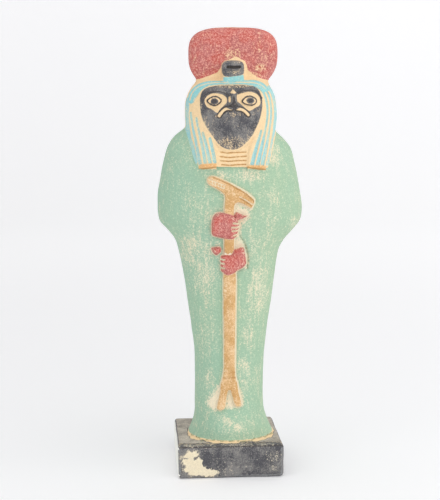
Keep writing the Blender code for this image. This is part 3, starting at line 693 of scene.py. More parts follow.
def drawn(*outlines):
    return union(*[reach(outline, side, height) for outline in outlines]) + behind_is_far


def lined(lines, half_width):
    return union(*[half_width - from_line(line, side, height) for line in lines]) + behind_is_far


def from_centre(at_side, at_height, half_width, half_height):
    """How far points lie from an oval's centre, counted so that its edge is at 1."""
    return np.hypot((side - at_side) / half_width, (height - at_height) / half_height)


def oval(at_side, at_height, half_width, half_height):
    away = from_centre(at_side, at_height, half_width, half_height)
    return (1 - away) * min(half_width, half_height) + behind_is_far


in_body = form_reach(BODY, side, depth, height)
in_wig = form_reach(WIG, side, depth, height)
on_wig = np.where(height > 140, in_wig - in_body, OUTSIDE)
staff = drawn(STAFF)
hand_shape = drawn(UPPER_HAND, *UPPER_THUMBS, LOWER_HAND, LOWER_THUMB)
face_reach = drawn(FACE)
eyes = drawn(*EYES)
from_lids = np.minimum(*[np.abs(reach(eye, side, height)) for eye in EYES])
eye_grounds = drawn(*EYE_GROUNDS)
pupils = union(*[oval(*pupil) for pupil in PUPILS])
nostrils = union(*[oval(*nostril) for nostril in NOSTRILS])
gapes = lined(GAPES, 0.78)
from_gape_rims = np.minimum(*[np.abs(1.15 - from_line(gape, side, height)) for gape in GAPES])
beak_ridge = drawn(BEAK_RIDGE)
cobra = union(drawn(COBRA), np.where(np.abs(depth + 8) < 12, reach(COBRA, side, height), OUTSIDE))
band = drawn(BAND_TOP + BAND_LOW)
bars = drawn(*BARS)
collar = drawn(COLLAR)
print("points:", len(side), "staff:", int((staff > 0).sum()), "face:", int((face_reach > 0).sum()))

# %% [markdown]
# ## Carving
# Each drawn shape now lifts or sinks the skin, in parts. Front shapes move straight towards the viewer, so
# that their outlines stay where they were drawn. On the sides of the wig, where the surface turns away, the
# move follows the surface's own direction. Walls take about half a millimetre, as a small chisel leaves them.

# %% Relief of the staff, the hands, the wig and the face
def plate(inside, rise, wall=0.5, crown=0.0, crown_reach=3.0):
    """A raised shape with a steep wall, and a crown that swells towards its middle."""
    return rise * step(inside, -0.1, wall) + crown * np.sqrt(np.clip(inside / crown_reach, 0, 1))


def groove(inside, deep, half_width):
    return -deep * step(inside, -0.15, half_width)


staff_relief = plate(staff, 1.25, crown=0.65)
staff_relief += groove(lined(STAFF_LINES, 0.5), 0.6, 0.4)
staff_relief += groove(lined(STAFF_TICKS + STAFF_PALE_LINES, 0.34), 0.35, 0.3)
hand_relief = plate(hand_shape, 2.3, wall=0.6, crown=1.0, crown_reach=3.2)
hand_relief += groove(lined(UPPER_GAPS + LOWER_GAPS, 0.48), 1.3, 0.45) * step(hand_shape, 0.0, 0.6)
relief = np.maximum(staff_relief, hand_relief)
near_relief = union(staff, hand_shape)
relief -= 0.35 * step(near_relief, -1.7, -0.2) * step(-near_relief, 0.0, 0.2)
relief += groove(lined([SLEEVE_LINE], 0.6), 0.5, 0.5)

stripes = lined(STRIPES, 0.58) + 0.4 * (1 - step(height, 152.0, 172.0))
outer_stripes = lined([STRIPES[0], STRIPES[len(LEFT_STRIPES)]], 0.55) + 0.75 * step(height, 158.0, 172.0)
relief += groove(stripes, 0.65, 0.55) * (1 - step(band, -0.4, 0.4))
band_fades = step(on_wig, -1.5, 0.0) * (1 - step(side, 15.0, 20.0))
relief += plate(band, 0.6, wall=0.5, crown=0.15) * band_fades
relief += groove(lined([BAND_SPLIT], 0.3), 0.35, 0.3)
relief += plate(bars, 0.6, wall=0.35, crown=0.5, crown_reach=1.2)
relief -= 0.85 * step(np.minimum(collar, -face_reach - 0.6), -0.2, 0.5)
relief += groove(lined(COLLAR_LINES, 0.5), 0.42, 0.45)
left_half, right_half, front_reach, _, front_round, _ = between(BODY, height).T
across = np.clip(np.abs(side) / np.where(side > 0, right_half, left_half), 0, 1)
chest_depth = -front_reach * (1 - across**front_round) ** (1 / front_round)
bare_chest = drawn(BARE_CHEST) > 0
relief = np.where(bare_chest, np.minimum(relief, depth - chest_depth), relief)

relief += 0.5 * step(eyes, -0.1, 0.3) + 0.75 * np.sqrt(np.clip(eyes / 2.2, 0, 1))
relief += 0.35 * step(pupils, -0.1, 0.3)
relief += 0.45 * step(0.42 - from_lids + behind_is_far, -0.1, 0.3)
relief += 0.7 * step(lined(BROWS, 0.55), -0.35, 0.4)
relief -= 0.35 * step(np.minimum(eye_grounds, -eyes), -0.3, 0.8)
relief += 0.6 * step(gapes, -0.25, 0.35)
relief -= 0.35 * step(0.5 - from_gape_rims, 0.0, 0.4) * (gapes < 0)
relief -= 0.5 * step(nostrils, -0.1, 0.5)
relief -= 1.5 * step(lined([COBRA_MOUTH], 0.75), -0.2, 0.6)
relief -= 0.5 * step(lined([[(-5.8, 199.6), (0.0, 199.3), (5.2, 199.7)]], 0.5), -0.1, 0.4)
print("relief from", round(float(relief.min()), 2), "to", round(float(relief.max()), 2), "parts")

# %% Grooves round the sides and the back of the wig
BACK_STRIPES = 46
turn_round = np.arctan2(depth, side)
radius = np.hypot(side, depth)
turn_phase = turn_round / (2 * math.pi) * BACK_STRIPES
ridge = np.abs(turn_phase - np.floor(turn_phase) - 0.5)
side_stripes = (0.24 - ridge) * (2 * math.pi * radius / BACK_STRIPES)
side_stripes = np.minimum(side_stripes, np.minimum(height - 149.5, 186.0 - height))
side_stripes = np.where((depth > -8.0) & (np.abs(side) > 5.0) | (depth > 2.0), side_stripes, OUTSIDE)
side_stripes = np.minimum(side_stripes, on_wig)
relief += groove(side_stripes, 0.4, 0.45)


def move_skin(form, amount, forward):
    """Moves every point by its own amount, in parts: forward, or along the surface's own direction."""
    towards = normals * (1 - forward[:, None]) + np.array((0.0, -1.0, 0.0)) * forward[:, None]
    towards /= np.linalg.norm(towards, axis=1)[:, None]
    moved = points_of(form.data) + towards * amount[:, None] * PART
    form.data.vertices.foreach_set("co", moved.astype(np.float32).ravel())
    form.data.update()


move_skin(statue, relief, step(-normals[:, 1], 0.3, 0.7) * in_front)
print("carved", int((np.abs(relief) > 0.05).sum()), "points")

# %% [markdown]
# ## The hand of the carver
# No surface of the real figure is true. A Displace modifier with a soft cloud pattern gives the slow rise and
# fall that rasping leaves, and a second one with a small pattern gives the tooth of the stone. Their middle
# level is over a half, so that they take away more than they add. What still stands out of the solid's box,
# by a tenth of a millimetre on the plinth, is laid flat on it.

# %% Uneven stone
def roughen(form, name, size, strength, octaves, middle):
    pattern = bpy.data.textures.new(name, "CLOUDS")
    pattern.noise_scale = size
    pattern.noise_depth = octaves
    pattern.noise_basis = "ORIGINAL_PERLIN"
    finish_modifier(
        form, name, "DISPLACE", texture=pattern, strength=strength, mid_level=middle, texture_coords="LOCAL",
    )


roughen(statue, "rasped", 0.016, 0.0007, 1, 0.6)
roughen(statue, "pecked", 0.0032, 0.00022, 2, 0.6)
kept_in = np.clip(points_of(statue.data), np.array(cad_low), np.array(cad_high))
statue.data.vertices.foreach_set("co", kept_in.astype(np.float32).ravel())
select_only(statue)
bpy.ops.object.shade_smooth()
print("triangles:", sum(len(face.vertices) - 2 for face in statue.data.polygons))

# %% [markdown]
# ## The paint plan
# For each colour, one attribute on the points says how far the point lies inside that colour's area, in
# parts. Where no colour reaches, the pale ground is bare. The material reads these distances, so a brush line
# half a millimetre wide stays crisp, and its edge can be rubbed back by a pattern.

# %% Distances for each colour
def store(name, values):
    layer = statue.data.attributes.new(name, "FLOAT", "POINT")
    layer.data.foreach_set("value", values.astype(np.float32))


print("ready to paint", len(side), "points")

plinth_out = -form_reach(BODY, side, depth, np.zeros_like(height))
ragged = 0.5 * np.sin(7 * turn_round + 1.0) + 0.35 * np.sin(13 * turn_round + 2.0)
ragged += 0.3 * np.sin(29 * turn_round)
band_at_foot = np.clip(1.6 + 1.1 * ragged, 0.0, 3.0) * step(-depth, -4.0, 14.0) + 0.1
plinth_black = np.where(height > 1.6, OUTSIDE, np.minimum(plinth_out - band_at_foot, 1.5 - height))
plinth_black = np.where(height < -0.4, 3.0, plinth_black)

PLINTH_CHIP = [
    (-26.2, -5.8), (-24.5, -4.0), (-23.0, -2.6), (-21.3, -3.3), (-19.2, -2.4), (-18.0, -3.7), (-18.2, -5.5),
    (-17.2, -6.3), (-15.7, -7.8), (-15.7, -10.2), (-13.9, -12.2), (-11.9, -13.0), (-8.9, -13.3),
    (-6.3, -14.3), (-8.9, -16.6), (-14.2, -17.1), (-15.3, -15.9), (-16.8, -16.3), (-21.7, -16.0),
    (-23.2, -14.0), (-25.5, -13.8), (-25.8, -12.5), (-24.1, -11.5), (-26.2, -8.7), (-26.6, -6.9),
]
CHIP_ISLANDS = (
    [(-26.6, -6.5), (-24.1, -6.2), (-22.4, -6.7), (-23.0, -7.3), (-24.7, -7.1)],
    [(-20.7, -6.6), (-19.5, -5.7), (-17.8, -5.8), (-18.4, -7.3), (-19.9, -7.9)],
)
crumbled = 0.3 * np.sin(2.9 * side + 2.3 * height) + 0.3 * np.sin(4.3 * height - 3.2 * side)
chips = reach(PLINTH_CHIP, side, height) + crumbled
chips = np.minimum(chips, -union(*[reach(island, side, height) for island in CHIP_ISLANDS]) + 0.3 * crumbled)
plinth_front = depth < -29.0
plinth_black = np.where(plinth_front, np.minimum(plinth_black, -chips), plinth_black)
x_in_parts = side + SHIFT + LEAN * height
half_wide, half_deep = PLINTH_WIDTH / 2 / PART, PLINTH_DEPTH / 2 / PART
from_edge = np.minimum(half_wide - np.abs(x_in_parts), half_deep - np.abs(depth))
dust = np.minimum(from_edge - 0.25, plinth_out - band_at_foot - 0.3)
dust = np.minimum(dust, 0.5 * (depth + 24.5) + 1.2 * crumbled)
dust = np.where((normals[:, 2] > 0.7) & (height < 0.8), dust, OUTSIDE)
on_front = (normals[:, 1] < -0.7) & (height < -1.5)
from_front_edge = np.minimum(half_wide - np.abs(x_in_parts), height + 18.0)
scuffs = np.where(on_front, 1.5 - from_front_edge + 0.9 * crumbled, OUTSIDE)
scuffs = np.minimum(scuffs, -chips)
# the plinth's left side is painted near white: partly its bare stone, partly painted light falling on that
# side
bare_and_painted_light_side = np.where((normals[:, 0] < -0.6) & (x_in_parts < -25.0), -1.0 - height, OUTSIDE)
top_line = np.where(depth < -28.8, 0.4 - np.abs(height + 0.75) + 0.2 * crumbled, OUTSIDE)

lid_lines = 0.44 - from_lids + behind_is_far
gape_lines = 0.36 - from_gape_rims + behind_is_far
ink_and_painted_shade = union(lid_lines - 0.1, np.minimum(gape_lines - 0.04, face_reach), pupils - 0.45, lined(BROWS, 0.34))
# painted shade: the cobra's mouth groove is inked darker than the rest of the cobra
ink_and_painted_shade = union(ink_and_painted_shade, top_line, np.minimum(beak_ridge - 1.0, -nostrils), lined([COBRA_MOUTH], 0.7))
pale_in_face = union(eye_grounds, drawn(CERE), nostrils, gapes)
black = np.minimum(face_reach, -pale_in_face)
black = union(black, lid_lines, pupils + 0.1, lined(BROWS, 0.62), gape_lines)
black = union(black, np.minimum(beak_ridge, -nostrils), cobra, plinth_black)

band_blue = np.minimum(band, -lined([BAND_SPLIT], 0.16))
drawn_blue = np.minimum(union(stripes, outer_stripes) - 0.02, -union(bars, face_reach, collar) - 0.2)
pale_blue = np.where(on_wig > -1.5, union(drawn_blue, side_stripes - 0.1), OUTSIDE)
pale_blue = np.minimum(pale_blue, -cobra)
blue = np.minimum(union(band_blue, drawn(NECK)), -cobra)

DISC_RED = [
    (-40, 195), (-20.5, 194.8), (-17.7, 195.2), (-12.6, 196.9), (-8.4, 198.5), (-6.8, 200.8), (-6.2, 203.4),
    (-4.6, 204.8), (-2.2, 205.3), (-0.8, 206.0), (0.8, 206.7), (2.6, 206.7), (4.4, 205.5), (6.4, 204.6),
    (7.4, 202.6), (8.0, 199.9), (10.5, 197.9), (13.4, 196.0), (17.3, 194.9), (20.5, 194.4), (40, 195),
    (40, 240), (-40, 240),
]
disc_red = np.where(depth < 0, reach(DISC_RED, side, height), height - 196.2)
disc_red = np.where(height > 188, disc_red, OUTSIDE)
hands_red = np.minimum(hand_shape + 0.25, -lined(UPPER_GAPS + LOWER_GAPS, 0.4))
red = union(np.minimum(disc_red, -cobra), hands_red)

pale_marks = union(lined(STAFF_TICKS, 0.16), lined(STAFF_PALE_LINES, 0.2))
crumble = 0.3 * np.sin(2.3 * side + 1.7 * height) + 0.3 * np.sin(3.1 * height - 2.6 * side) - 0.1
bare_places = drawn(*BARE_BY_THE_HANDS, *BARE_BY_THE_FORK) + crumble
bare_places = np.minimum(bare_places - 0.5, -oval(4.9, 127.2, 1.8, 1.1))
bare_by_hands = np.where(height > 90.0, bare_places, OUTSIDE)
# the staff's right edge is left bare wider than its left: partly its unpainted wall, partly a painted
# highlight from the right
right_edge = side > -1.2
not_ochre = union(pale_marks, hand_shape + 0.3, bare_by_hands)
ochre = np.minimum(staff - np.where(right_edge, 0.4, 0.2), -not_ochre)
foot_hem = 0.9 + 0.5 * ragged
# painted shadow: a dark olive line along the hem above the pale band at the foot
painted_shadow_at_hem = np.where((depth < -8.0) & (height < 4.0), 0.3 - np.abs(height - foot_hem), OUTSIDE)
# painted shade: a brown line along the lower edge of the wig's bars
painted_shade_under_bars = lined([[(-18.4, 147.4), (-9.4, 148.3)], [(7.2, 147.9), (17.2, 146.8)]], 0.45)
# painted shade: the olive lines at the hem and in the sleeve's groove
painted_shade_lines = union(painted_shadow_at_hem, lined([SLEEVE_LINE], 0.18))
brown_lines_and_painted_shade = union(lined(STAFF_LINES, 0.26), lined(COLLAR_LINES, 0.28), np.minimum(painted_shade_under_bars, bars + 0.2))

wig_cream = np.where((height > 146.0) & ~bare_chest, on_wig, OUTSIDE)
painted_elsewhere = union(
    wig_cream, staff + np.where(right_edge, 0.45, 0.2), hand_shape + 0.6, bare_places,
    np.minimum(disc_red + 40, height - 190),
)
green = np.minimum(-painted_elsewhere, height - foot_hem)
green = np.where(height < 0.5, OUTSIDE, green)
cream = union(wig_cream, np.where(depth > -28.0, 1.2 - height, OUTSIDE))

REACHES = {
    "green": green, "cream": cream, "pale_blue": pale_blue, "blue": blue, "red": red, "black": black,
    "dust": dust, "scuffs": scuffs, "bare_and_painted_light_side": bare_and_painted_light_side, "ink_and_painted_shade": ink_and_painted_shade, "ochre": ochre, "orange": bars + 0.05,
    "brown_lines_and_painted_shade": brown_lines_and_painted_shade, "painted_shade_lines": painted_shade_lines,
}
for name, values in REACHES.items():
    store(name + "_reach", np.clip(values, -4.0, 4.0))
print("colours:", ", ".join(REACHES))

# %% [markdown]
# ## Wear, and painted highlights on the cobra
# Paint goes first where hands and shelves touch: on edges, and in patches where the figure was rubbed. The
# edges are found from the mesh itself, as the points that stand out from the average of their neighbours. The
# patches are soft ovals, given one by one.

# %% Edges, rubbed patches and painted highlights
def smoothed(values, ends, times):
    """Each point's value, averaged with its neighbours' several times."""
    count = np.bincount(ends.ravel(), minlength=len(values))[:, None]
    for _ in range(times):
        total = np.zeros_like(values)
        for axis in range(values.shape[1]):
            total[:, axis] = np.bincount(ends[:, 0], values[ends[:, 1], axis], len(values))
            total[:, axis] += np.bincount(ends[:, 1], values[ends[:, 0], axis], len(values))
        values = 0.5 * values + 0.5 * total / count
    return values


ends = np.empty(len(statue.data.edges) * 2, np.int32)
statue.data.edges.foreach_get("vertices", ends)
ends = ends.reshape(-1, 2)
skin = points_of(statue.data)
normals = points_of(statue.data, "vertices", "normal")
edge_lengths = np.linalg.norm(skin[ends[:, 0]] - skin[ends[:, 1]], axis=1) / PART
spacing = np.bincount(ends.ravel(), np.repeat(edge_lengths, 2)) / np.bincount(ends.ravel())
stands_out = ((skin - smoothed(skin, ends, 4)) * normals).sum(axis=1) / PART
curved = smoothed((stands_out / spacing**2)[:, None], ends, 2)[:, 0]
store("edge", np.clip(curved, -1.0, 1.0))

RUBBED_AND_HIGHLIT = (
    (-20.0, 103.0, 13.0, 15.0, 0.36), (-14.0, 90.0, 9.0, 15.0, 0.38), (-13.0, 62.0, 6.0, 22.0, 0.14),
    (13.0, 104.0, 9.0, 12.0, 0.30), (15.0, 82.0, 8.0, 20.0, 0.38), (10.0, 60.0, 5.0, 18.0, 0.24),
    (7.0, 36.0, 5.0, 12.0, 0.34), (-1.5, 10.8, 4.5, 3.4, 0.44), (3.6, 8.0, 3.4, 2.6, 0.48),
    (0.0, 5.0, 6.0, 1.6, 0.2), (-10.0, 21.0, 4.0, 5.0, 0.5), (0.0, 9.0, 17.0, 8.0, 0.14),
    (-12.0, 33.0, 4.0, 8.0, 0.3), (8.0, 144.0, 11.0, 5.0, 0.4), (22.0, 156.0, 5.0, 10.0, 0.34),
    (20.0, 128.0, 10.0, 14.0, 0.2), (-16.0, 128.0, 12.0, 14.0, 0.14), (34.0, 118.0, 6.0, 6.0, 0.3),
    (-8.0, 144.5, 10.0, 4.0, 0.2), (-7.6, 107.6, 2.4, 2.0, 0.4), (14.6, 201.0, 4.4, 3.0, 0.75),
    (13.0, 197.4, 6.0, 1.6, 0.5), (0.0, 208.5, 7.0, 4.0, 0.4), (-20.8, 205.5, 1.4, 3.0, 0.7),
    (-14.0, 219.0, 5.0, 3.0, 0.35), (17.0, 211.0, 9.0, 12.0, 0.2), (-17.5, 197.5, 3.5, 2.5, 0.35),
    # the ovals on the cobra, at heights 198.4 and 203.6 on this line and the next, are partly wear and partly
    # a painted highlight on its lower roll and top
    (-0.6, 176.2, 5.2, 2.2, 0.4), (-0.5, 198.4, 6.0, 1.7, 0.36), (-1.5, 160.6, 12.0, 6.0, 0.5),
    (0.5, 203.6, 4.6, 1.1, 0.36), (-9.2, 175.2, 2.2, 1.2, 0.5), (0.0, 190.9, 14.0, 1.3, 0.5),
    (13.0, 178.5, 1.6, 1.6, 0.4), (-19.0, 180.0, 3.4, 7.0, 0.3), (-18.4, 169.0, 2.2, 6.0, 0.3),
)
PLINTH_RUBBED = ((22.0, -7.0, 6.5, 4.0, 0.3), (22.0, -13.0, 5.0, 3.0, 0.26), (-8.0, -7.0, 9.0, 5.0, 0.1))


def rubbed_and_highlit(ovals, full_until):
    """How bare each point is from soft ovals, given as side, height, half width, half height and bareness. Two
    ovals on the cobra also paint a highlight.
    """
    return union(*[bare * (1 - step(from_centre(*around), full_until, 1.15)) for *around, bare in ovals])


beside = np.minimum(bare_places, 0.4 - union(hand_shape, staff))
wear_and_highlights = 0.7 * step(beside, -2.2, -0.1) * in_front * (union(hand_shape, staff) < 0.1)
disc_rim = step(height, 221.9, 222.8) * step(-depth, 1.0, 2.5)
wear_and_highlights = np.maximum(wear_and_highlights, 0.7 * disc_rim * (np.abs(side + 2.0) < 15.0))
cheek_rim = (1 - step(face_reach, 0.2, 2.6)) * (face_reach > -1.0)
wear_and_highlights = np.maximum(wear_and_highlights, 0.4 * cheek_rim * (1 - step(height, 166.0, 178.0)) * in_front)
wear_and_highlights = union(wear_and_highlights, rubbed_and_highlit(RUBBED_AND_HIGHLIT, 0.25) * in_front, rubbed_and_highlit(PLINTH_RUBBED, 0.3) * plinth_front)
on_top = (np.abs(height) < 0.8) & (plinth_out > 0.5)
wear_and_highlights = np.maximum(wear_and_highlights, np.where(on_top, 0.12 + 0.22 * (depth < -23.0), 0.0))
wear_and_highlights = np.maximum(wear_and_highlights, 0.5 * step(chips, -1.6, 0.0) * plinth_front)
store("wear_and_highlights", wear_and_highlights)
print("stands out most by", round(float(stands_out.max()), 2), "parts")

# %% [markdown]
# ## The material
# One material covers the block, because it is one block: bare ground first, then each colour laid over it
# where its distance is positive. The distance is shaken by a fine noise first, so that edges look brushed.
# Chips and scratches come from noises on Object coordinates, and they bite deeper where a point is worn, has a
# painted highlight, or stands out. The same masks lift the paint a hair above the ground in the bump.

# %% Small helpers for nodes
paint = bpy.data.materials.new("painted_limestone")
paint.use_nodes = True
tree = paint.node_tree
tree.nodes.clear()


def add_node(kind, **settings):
    made = tree.nodes.new(kind)
    for name, value in settings.items():
        setattr(made, name, value)
    return made


def plug(value, socket):
    """Links an output, or sets a plain number or colour."""
    if isinstance(value, bpy.types.NodeSocket):
        tree.links.new(value, socket)
    else:
        socket.default_value = value


def calc(operation, first, second, clamp=False):
    made = add_node("ShaderNodeMath", operation=operation, use_clamp=clamp)
    plug(first, made.inputs[0])
    plug(second, made.inputs[1])
    return made.outputs[0]


def ramp(value, low, high, to_low=0.0, to_high=1.0):
    """An even curve from to_low to to_high while the value goes from low to high."""
    made = add_node("ShaderNodeMapRange", interpolation_type="SMOOTHSTEP")
    for place_in_list, number in enumerate((value, low, high, to_low, to_high)):
        plug(number, made.inputs[place_in_list])
    return made.outputs[0]


def weighed(first, first_share, second, second_share):
    """Two patterns, each with its own share, added."""
    return calc("ADD", calc("MULTIPLY", first, first_share), calc("MULTIPLY", second, second_share))


def blend_colours(share, under, over):
    made = add_node("ShaderNodeMix", data_type="RGBA")
    plug(share, made.inputs["Factor"])
    plug(under, made.inputs[6])
    plug(over, made.inputs[7])
    return made.outputs[2]


def attribute(name):
    return add_node("ShaderNodeAttribute", attribute_name=name).outputs["Fac"]


spot = add_node("ShaderNodeTexCoord").outputs["Object"]


def turned(angle, stretch):
    """Object coordinates turned about the front-to-back axis, then stretched."""
    made = add_node("ShaderNodeMapping")
    plug(spot, made.inputs["Vector"])
    made.inputs["Rotation"].default_value = (0.0, angle, 0.0)
    made.inputs["Scale"].default_value = stretch
    return made.outputs["Vector"]


def noise(size_in_parts, detail, roughness, vector=None):
    made = add_node("ShaderNodeTexNoise")
    plug(vector if vector is not None else spot, made.inputs["Vector"])
    made.inputs["Scale"].default_value = 1 / (size_in_parts * PART)
    made.inputs["Detail"].default_value = detail
    made.inputs["Roughness"].default_value = roughness
    return made.outputs["Fac"]


def srgb(red, green, blue):
    """A colour given as 0 to 255, as the linear values that a shader takes."""
    shares = [value / 255 for value in (red, green, blue)]
    linear = [((share + 0.055) / 1.055) ** 2.4 if share > 0.04045 else share / 12.92 for share in shares]
    return (*linear, 1.0)


# %% [markdown]
# ### The patterns of wear
# Specks in two sizes, larger blotches that gather them, and scratches that run down to the left make the
# wear. Together with the worn patches, the painted highlights on the cobra and the edges they give one number:
# how bare a spot is.

# %% Specks, blotches and scratches
specks = noise(1.15, 3.0, 0.6)
fine_specks = noise(0.6, 2.0, 0.6)
blotches = noise(9.0, 3.0, 0.6)
slow = noise(42.0, 2.0, 0.5)
scratches = noise(1.6, 2.0, 0.5, turned(math.radians(28), (1.0, 1.0, 0.16)))
wear_and_highlights_here = attribute("wear_and_highlights")
edge_here = attribute("edge")


def swing(pattern, share):
    """A pattern about its own middle, scaled."""
    return calc("MULTIPLY", calc("SUBTRACT", pattern, 0.5), share)


bareness_and_highlights = 0.5
for cause in (
    swing(specks, 0.5), swing(fine_specks, 0.9), swing(scratches, 0.55), swing(blotches, 0.3),
    calc("MULTIPLY", wear_and_highlights_here, 0.5), calc("MULTIPLY", ramp(edge_here, 0.3, 1.0), 0.09),
):
    bareness_and_highlights = calc("ADD", bareness_and_highlights, cause)
wobble = swing(specks, 0.9)

# %% [markdown]
# ### The colours
# No colour is quite even: two shades of each are mixed, by a slow fading, by the grain or in blotches.
# Every colour has its own threshold for bareness, because the black of the face and the red of the disc held
# better than the green of the robe.

# %% Lay the colours over the ground
GROUND = blend_colours(blotches, srgb(240, 232, 208), srgb(234, 217, 184))
RED = blend_colours(ramp(blotches, 0.4, 0.6), srgb(196, 88, 76), srgb(184, 100, 96))
COLOURS = (
    # name, shade, second shade, what mixes them, bareness where half is gone, its softness, film that stays
    ("green", srgb(159, 194, 168), srgb(169, 195, 163), "fading", 0.69, 0.20, 0.18),
    ("cream", srgb(244, 215, 170), srgb(238, 208, 164), "fading", 0.95, 0.15, 0.5),
    ("pale_blue", srgb(160, 212, 216), srgb(184, 216, 206), "blotchy", 0.66, 0.20, 0.30),
    ("blue", srgb(140, 206, 212), srgb(160, 210, 204), "fading", 0.68, 0.15, 0.2),
    ("red", RED, srgb(218, 152, 142), "grain", 0.76, 0.16, 0.25),
    ("black", srgb(80, 80, 85), srgb(132, 130, 128), "blotchy", 0.78, 0.16, 0.25),
    ("dust", srgb(214, 202, 188), srgb(148, 138, 130), "blotchy", 0.72, 0.36, 0.0),
    ("scuffs", srgb(152, 154, 154), srgb(130, 131, 134), "blotchy", 0.52, 0.25, 0.10),
    # the near white left side of the plinth is partly bare stone and partly painted light
    ("bare_and_painted_light_side", srgb(250, 249, 244), srgb(238, 238, 228), "blotchy", 0.95, 0.15, 0.5),
    # ink also paints the shade in the cobra's mouth groove
    ("ink_and_painted_shade", srgb(72, 69, 70), srgb(84, 80, 80), "grain", 0.80, 0.16, 0.3),
    ("ochre", srgb(208, 162, 104), srgb(232, 194, 146), "blotchy", 0.70, 0.20, 0.35),
    ("orange", srgb(232, 178, 118), srgb(238, 190, 134), "grain", 0.76, 0.16, 0.30),
    # the brown also paints the shade under the wig's bars
    ("brown_lines_and_painted_shade", srgb(188, 140, 84), srgb(200, 154, 98), "grain", 0.82, 0.15, 0.30),
    # olive is painted shade in the sleeve's groove and at the hem
    ("painted_shade_lines", srgb(136, 140, 102), srgb(150, 150, 112), "grain", 0.66, 0.16, 0.20),
)
axes = add_node("ShaderNodeSeparateXYZ")
plug(spot, axes.inputs["Vector"])
MIXES = {
    "fading": calc("ADD", ramp(axes.outputs["X"], -0.03, 0.04, 0.0, 0.7), swing(slow, 1.6), clamp=True),
    "grain": ramp(weighed(fine_specks, 0.6, specks, 0.4), 0.40, 0.64),
    "blotchy": ramp(weighed(fine_specks, 0.4, blotches, 0.6), 0.40, 0.61),
}

colour = GROUND
coat = None
for name, shade, second, mix, gone_at, softness, film in COLOURS:
    inside = calc("ADD", attribute(name + "_reach"), calc("MULTIPLY", wobble, 0.8))
    covered = ramp(inside, -0.15, 0.2)
    left = ramp(bareness_and_highlights, gone_at - softness, gone_at + softness, 1.0, film)
    share = calc("MULTIPLY", covered, left)
    colour = blend_colours(share, colour, blend_colours(MIXES[mix], shade, second))
    coat = share if coat is None else calc("MAXIMUM", coat, share)

# %% [markdown]
# ### Painted shade, roughness and bump
# The hollows, which are the points that stand out less than their neighbours, are painted a little darker as
# shade. The paint is a little smoother than the bare stone. The bump adds the grain that is too fine for the
# mesh, and the thin step at the edge of the paint.

# %% Put the shader together
# painted shade: points that lie deeper than their neighbours are darkened towards a brown
painted_shade_in_hollows = ramp(edge_here, -0.4, -1.0)
colour = blend_colours(calc("MULTIPLY", painted_shade_in_hollows, 0.11), colour, srgb(132, 112, 78))
mottled = weighed(fine_specks, 0.3, specks, 0.2)
shaded = add_node("ShaderNodeHueSaturation")
plug(colour, shaded.inputs["Color"])
plug(ramp(mottled, 0.18, 0.32, 0.93, 1.07), shaded.inputs["Value"])

bump = add_node("ShaderNodeBump")
bump.inputs["Strength"].default_value = 0.55
bump.inputs["Distance"].default_value = 0.0003
plug(weighed(fine_specks, 0.6, coat, 0.35), bump.inputs["Height"])

surface = add_node("ShaderNodeBsdfPrincipled")
plug(shaded.outputs["Color"], surface.inputs["Base Color"])
plug(ramp(coat, 0.0, 1.0, 0.92, 0.74), surface.inputs["Roughness"])
plug(bump.outputs["Normal"], surface.inputs["Normal"])
surface.inputs["Specular IOR Level"].default_value = 0.35
output = add_node("ShaderNodeOutputMaterial")
plug(surface.outputs["BSDF"], output.inputs["Surface"])
statue.data.materials.clear()
statue.data.materials.append(paint)
print("the material has", len(tree.nodes), "nodes")

# %% [markdown]
# ## In the frame
# The carved figure stands for the plain solid, rides on the one body and takes the record's finish.

# %% Tie the figure to the frame
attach(statue, "root")
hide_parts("statue")

# %% [markdown]
# ## The stage
# A wide white floor that bends up all round, like a bowl, so that there is a pale background from every side
# and room for a camera behind the figure. An open ring of edges is extruded outward and upward along a
# quarter circle, and the middle is then filled. The card glows faintly, and more so further out, where the
# lamps no longer reach, so that floor and wall stay one even tone.

# %% Floor and wall
FLOOR_RADIUS = 1.6
WALL_RADIUS = 2.4
BEND_STEPS = 12

bpy.ops.object.select_all(action="DESELECT")
bpy.ops.mesh.primitive_circle_add(vertices=96, radius=FLOOR_RADIUS, fill_type="NOTHING", location=(0, 0, 0))
floor = open_form("floor")
bpy.context.tool_settings.mesh_select_mode = (False, True, False)
bpy.ops.mesh.select_all(action="SELECT")
bend = WALL_RADIUS - FLOOR_RADIUS
last_radius, last_height = FLOOR_RADIUS, 0.0
for number in range(1, BEND_STEPS + 1):
    turn = math.radians(90 * number / BEND_STEPS)
    ring_radius = FLOOR_RADIUS + bend * math.sin(turn)
    ring_height = bend * (1 - math.cos(turn))
    bpy.ops.mesh.extrude_region_move(TRANSFORM_OT_translate={"value": (0.0, 0.0, ring_height - last_height)})
    grow = ring_radius / last_radius
    bpy.ops.transform.resize(value=(grow, grow, 1.0), center_override=(0.0, 0.0, 0.0))
    last_radius, last_height = ring_radius, ring_height
bpy.ops.mesh.select_all(action="DESELECT")
mesh = bmesh.from_edit_mesh(floor.data)
for edge in mesh.edges:
    edge.select_set(all(point.co.z < 1e-4 for point in edge.verts))
bmesh.update_edit_mesh(floor.data)
bpy.ops.mesh.edge_face_add()
close_form(floor, inside=True)
bpy.ops.object.shade_smooth()

# %% The white card
card = bpy.data.materials.new("white_card")
card.use_nodes = True
# from here on the small helpers add to the card's nodes
tree = card.node_tree
board = tree.nodes["Principled BSDF"]
board.inputs["Base Color"].default_value = (0.93, 0.93, 0.945, 1.0)
board.inputs["Roughness"].default_value = 0.9
board.inputs["Emission Color"].default_value = (1.0, 1.0, 1.0, 1.0)
spot = add_node("ShaderNodeTexCoord").outputs["Object"]
from_figure = add_node("ShaderNodeVectorMath", operation="LENGTH")
plug(spot, from_figure.inputs[0])
axes = add_node("ShaderNodeSeparateXYZ")
plug(spot, axes.inputs["Vector"])
glow_outward = ramp(from_figure.outputs["Value"], 0.1, 1.3, 0.05, 0.225)
glow_rightward = ramp(axes.outputs["X"], -0.4, 0.7, 0.0, 0.065)
plug(calc("ADD", glow_outward, glow_rightward), board.inputs["Emission Strength"])
floor.data.materials.append(card)

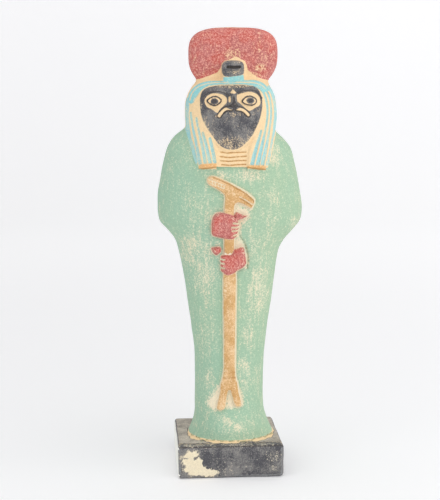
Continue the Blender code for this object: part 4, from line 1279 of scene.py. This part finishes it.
# %% [markdown]
# ## Light
# The photograph is bright and soft: white light from everywhere, a little more of it from the front and the
# upper right. A white world gives the first, and two large area lights in front give the second. A third one
# overhead lights the floor and the top of the plinth.

# %% World and lamps
world = bpy.data.worlds.new("studio")
world.use_nodes = True
background = world.node_tree.nodes["Background"]
background.inputs["Color"].default_value = (1.0, 1.0, 1.0, 1.0)
background.inputs["Strength"].default_value = 0.535
bpy.context.scene.world = world

LIT_POINT = Vector((0.0, 0.0, 0.12))
LAMPS = (
    # name, place, size, watts
    ("key", (0.75, -0.7, 0.8), 1.7, 7.2),
    ("fill", (-0.8, -0.8, 0.6), 0.9, 1.3),
    ("overhead", (0.0, -0.05, 1.2), 1.4, 3.5),
)
for name, location, size, watts in LAMPS:
    bpy.ops.object.light_add(type="AREA", location=location)
    lamp = bpy.context.active_object
    lamp.name = name
    lamp.data.size = size
    lamp.data.energy = watts
    lamp.rotation_euler = (LIT_POINT - Vector(location)).to_track_quat("-Z", "Y").to_euler()
print("lamps:", ", ".join(name for name, *_ in LAMPS))

# %% [markdown]
# ## Camera
# The camera was worked out from the plinth's corners in the photograph: where it stood, how it was turned
# and how long its lens was. Its frame is 440 by 500, so the sensor's long side is the picture's height.

# %% The photograph's camera
CAMERA_PLACE = Vector((-0.0478, -0.6553, 0.1957))
YAW, PITCH, ROLL = math.radians(3.87), math.radians(6.58), math.radians(-0.24)
bpy.ops.object.camera_add(location=CAMERA_PLACE)
camera = bpy.context.active_object
camera.data.lens = 86.4
camera.data.sensor_width = 36.0
ahead = Vector((math.sin(YAW) * math.cos(PITCH), math.cos(YAW) * math.cos(PITCH), -math.sin(PITCH)))
right = Vector((math.cos(YAW), -math.sin(YAW), 0.0))
up = right.cross(ahead)
turned_right = math.cos(ROLL) * right + math.sin(ROLL) * up
turned_up = math.cos(ROLL) * up - math.sin(ROLL) * right
facing = Matrix((turned_right, turned_up, -ahead)).transposed().to_4x4()
camera.matrix_world = Matrix.Translation(CAMERA_PLACE) @ facing
bpy.context.scene.camera = camera
bpy.context.scene.view_settings.view_transform = "Standard"
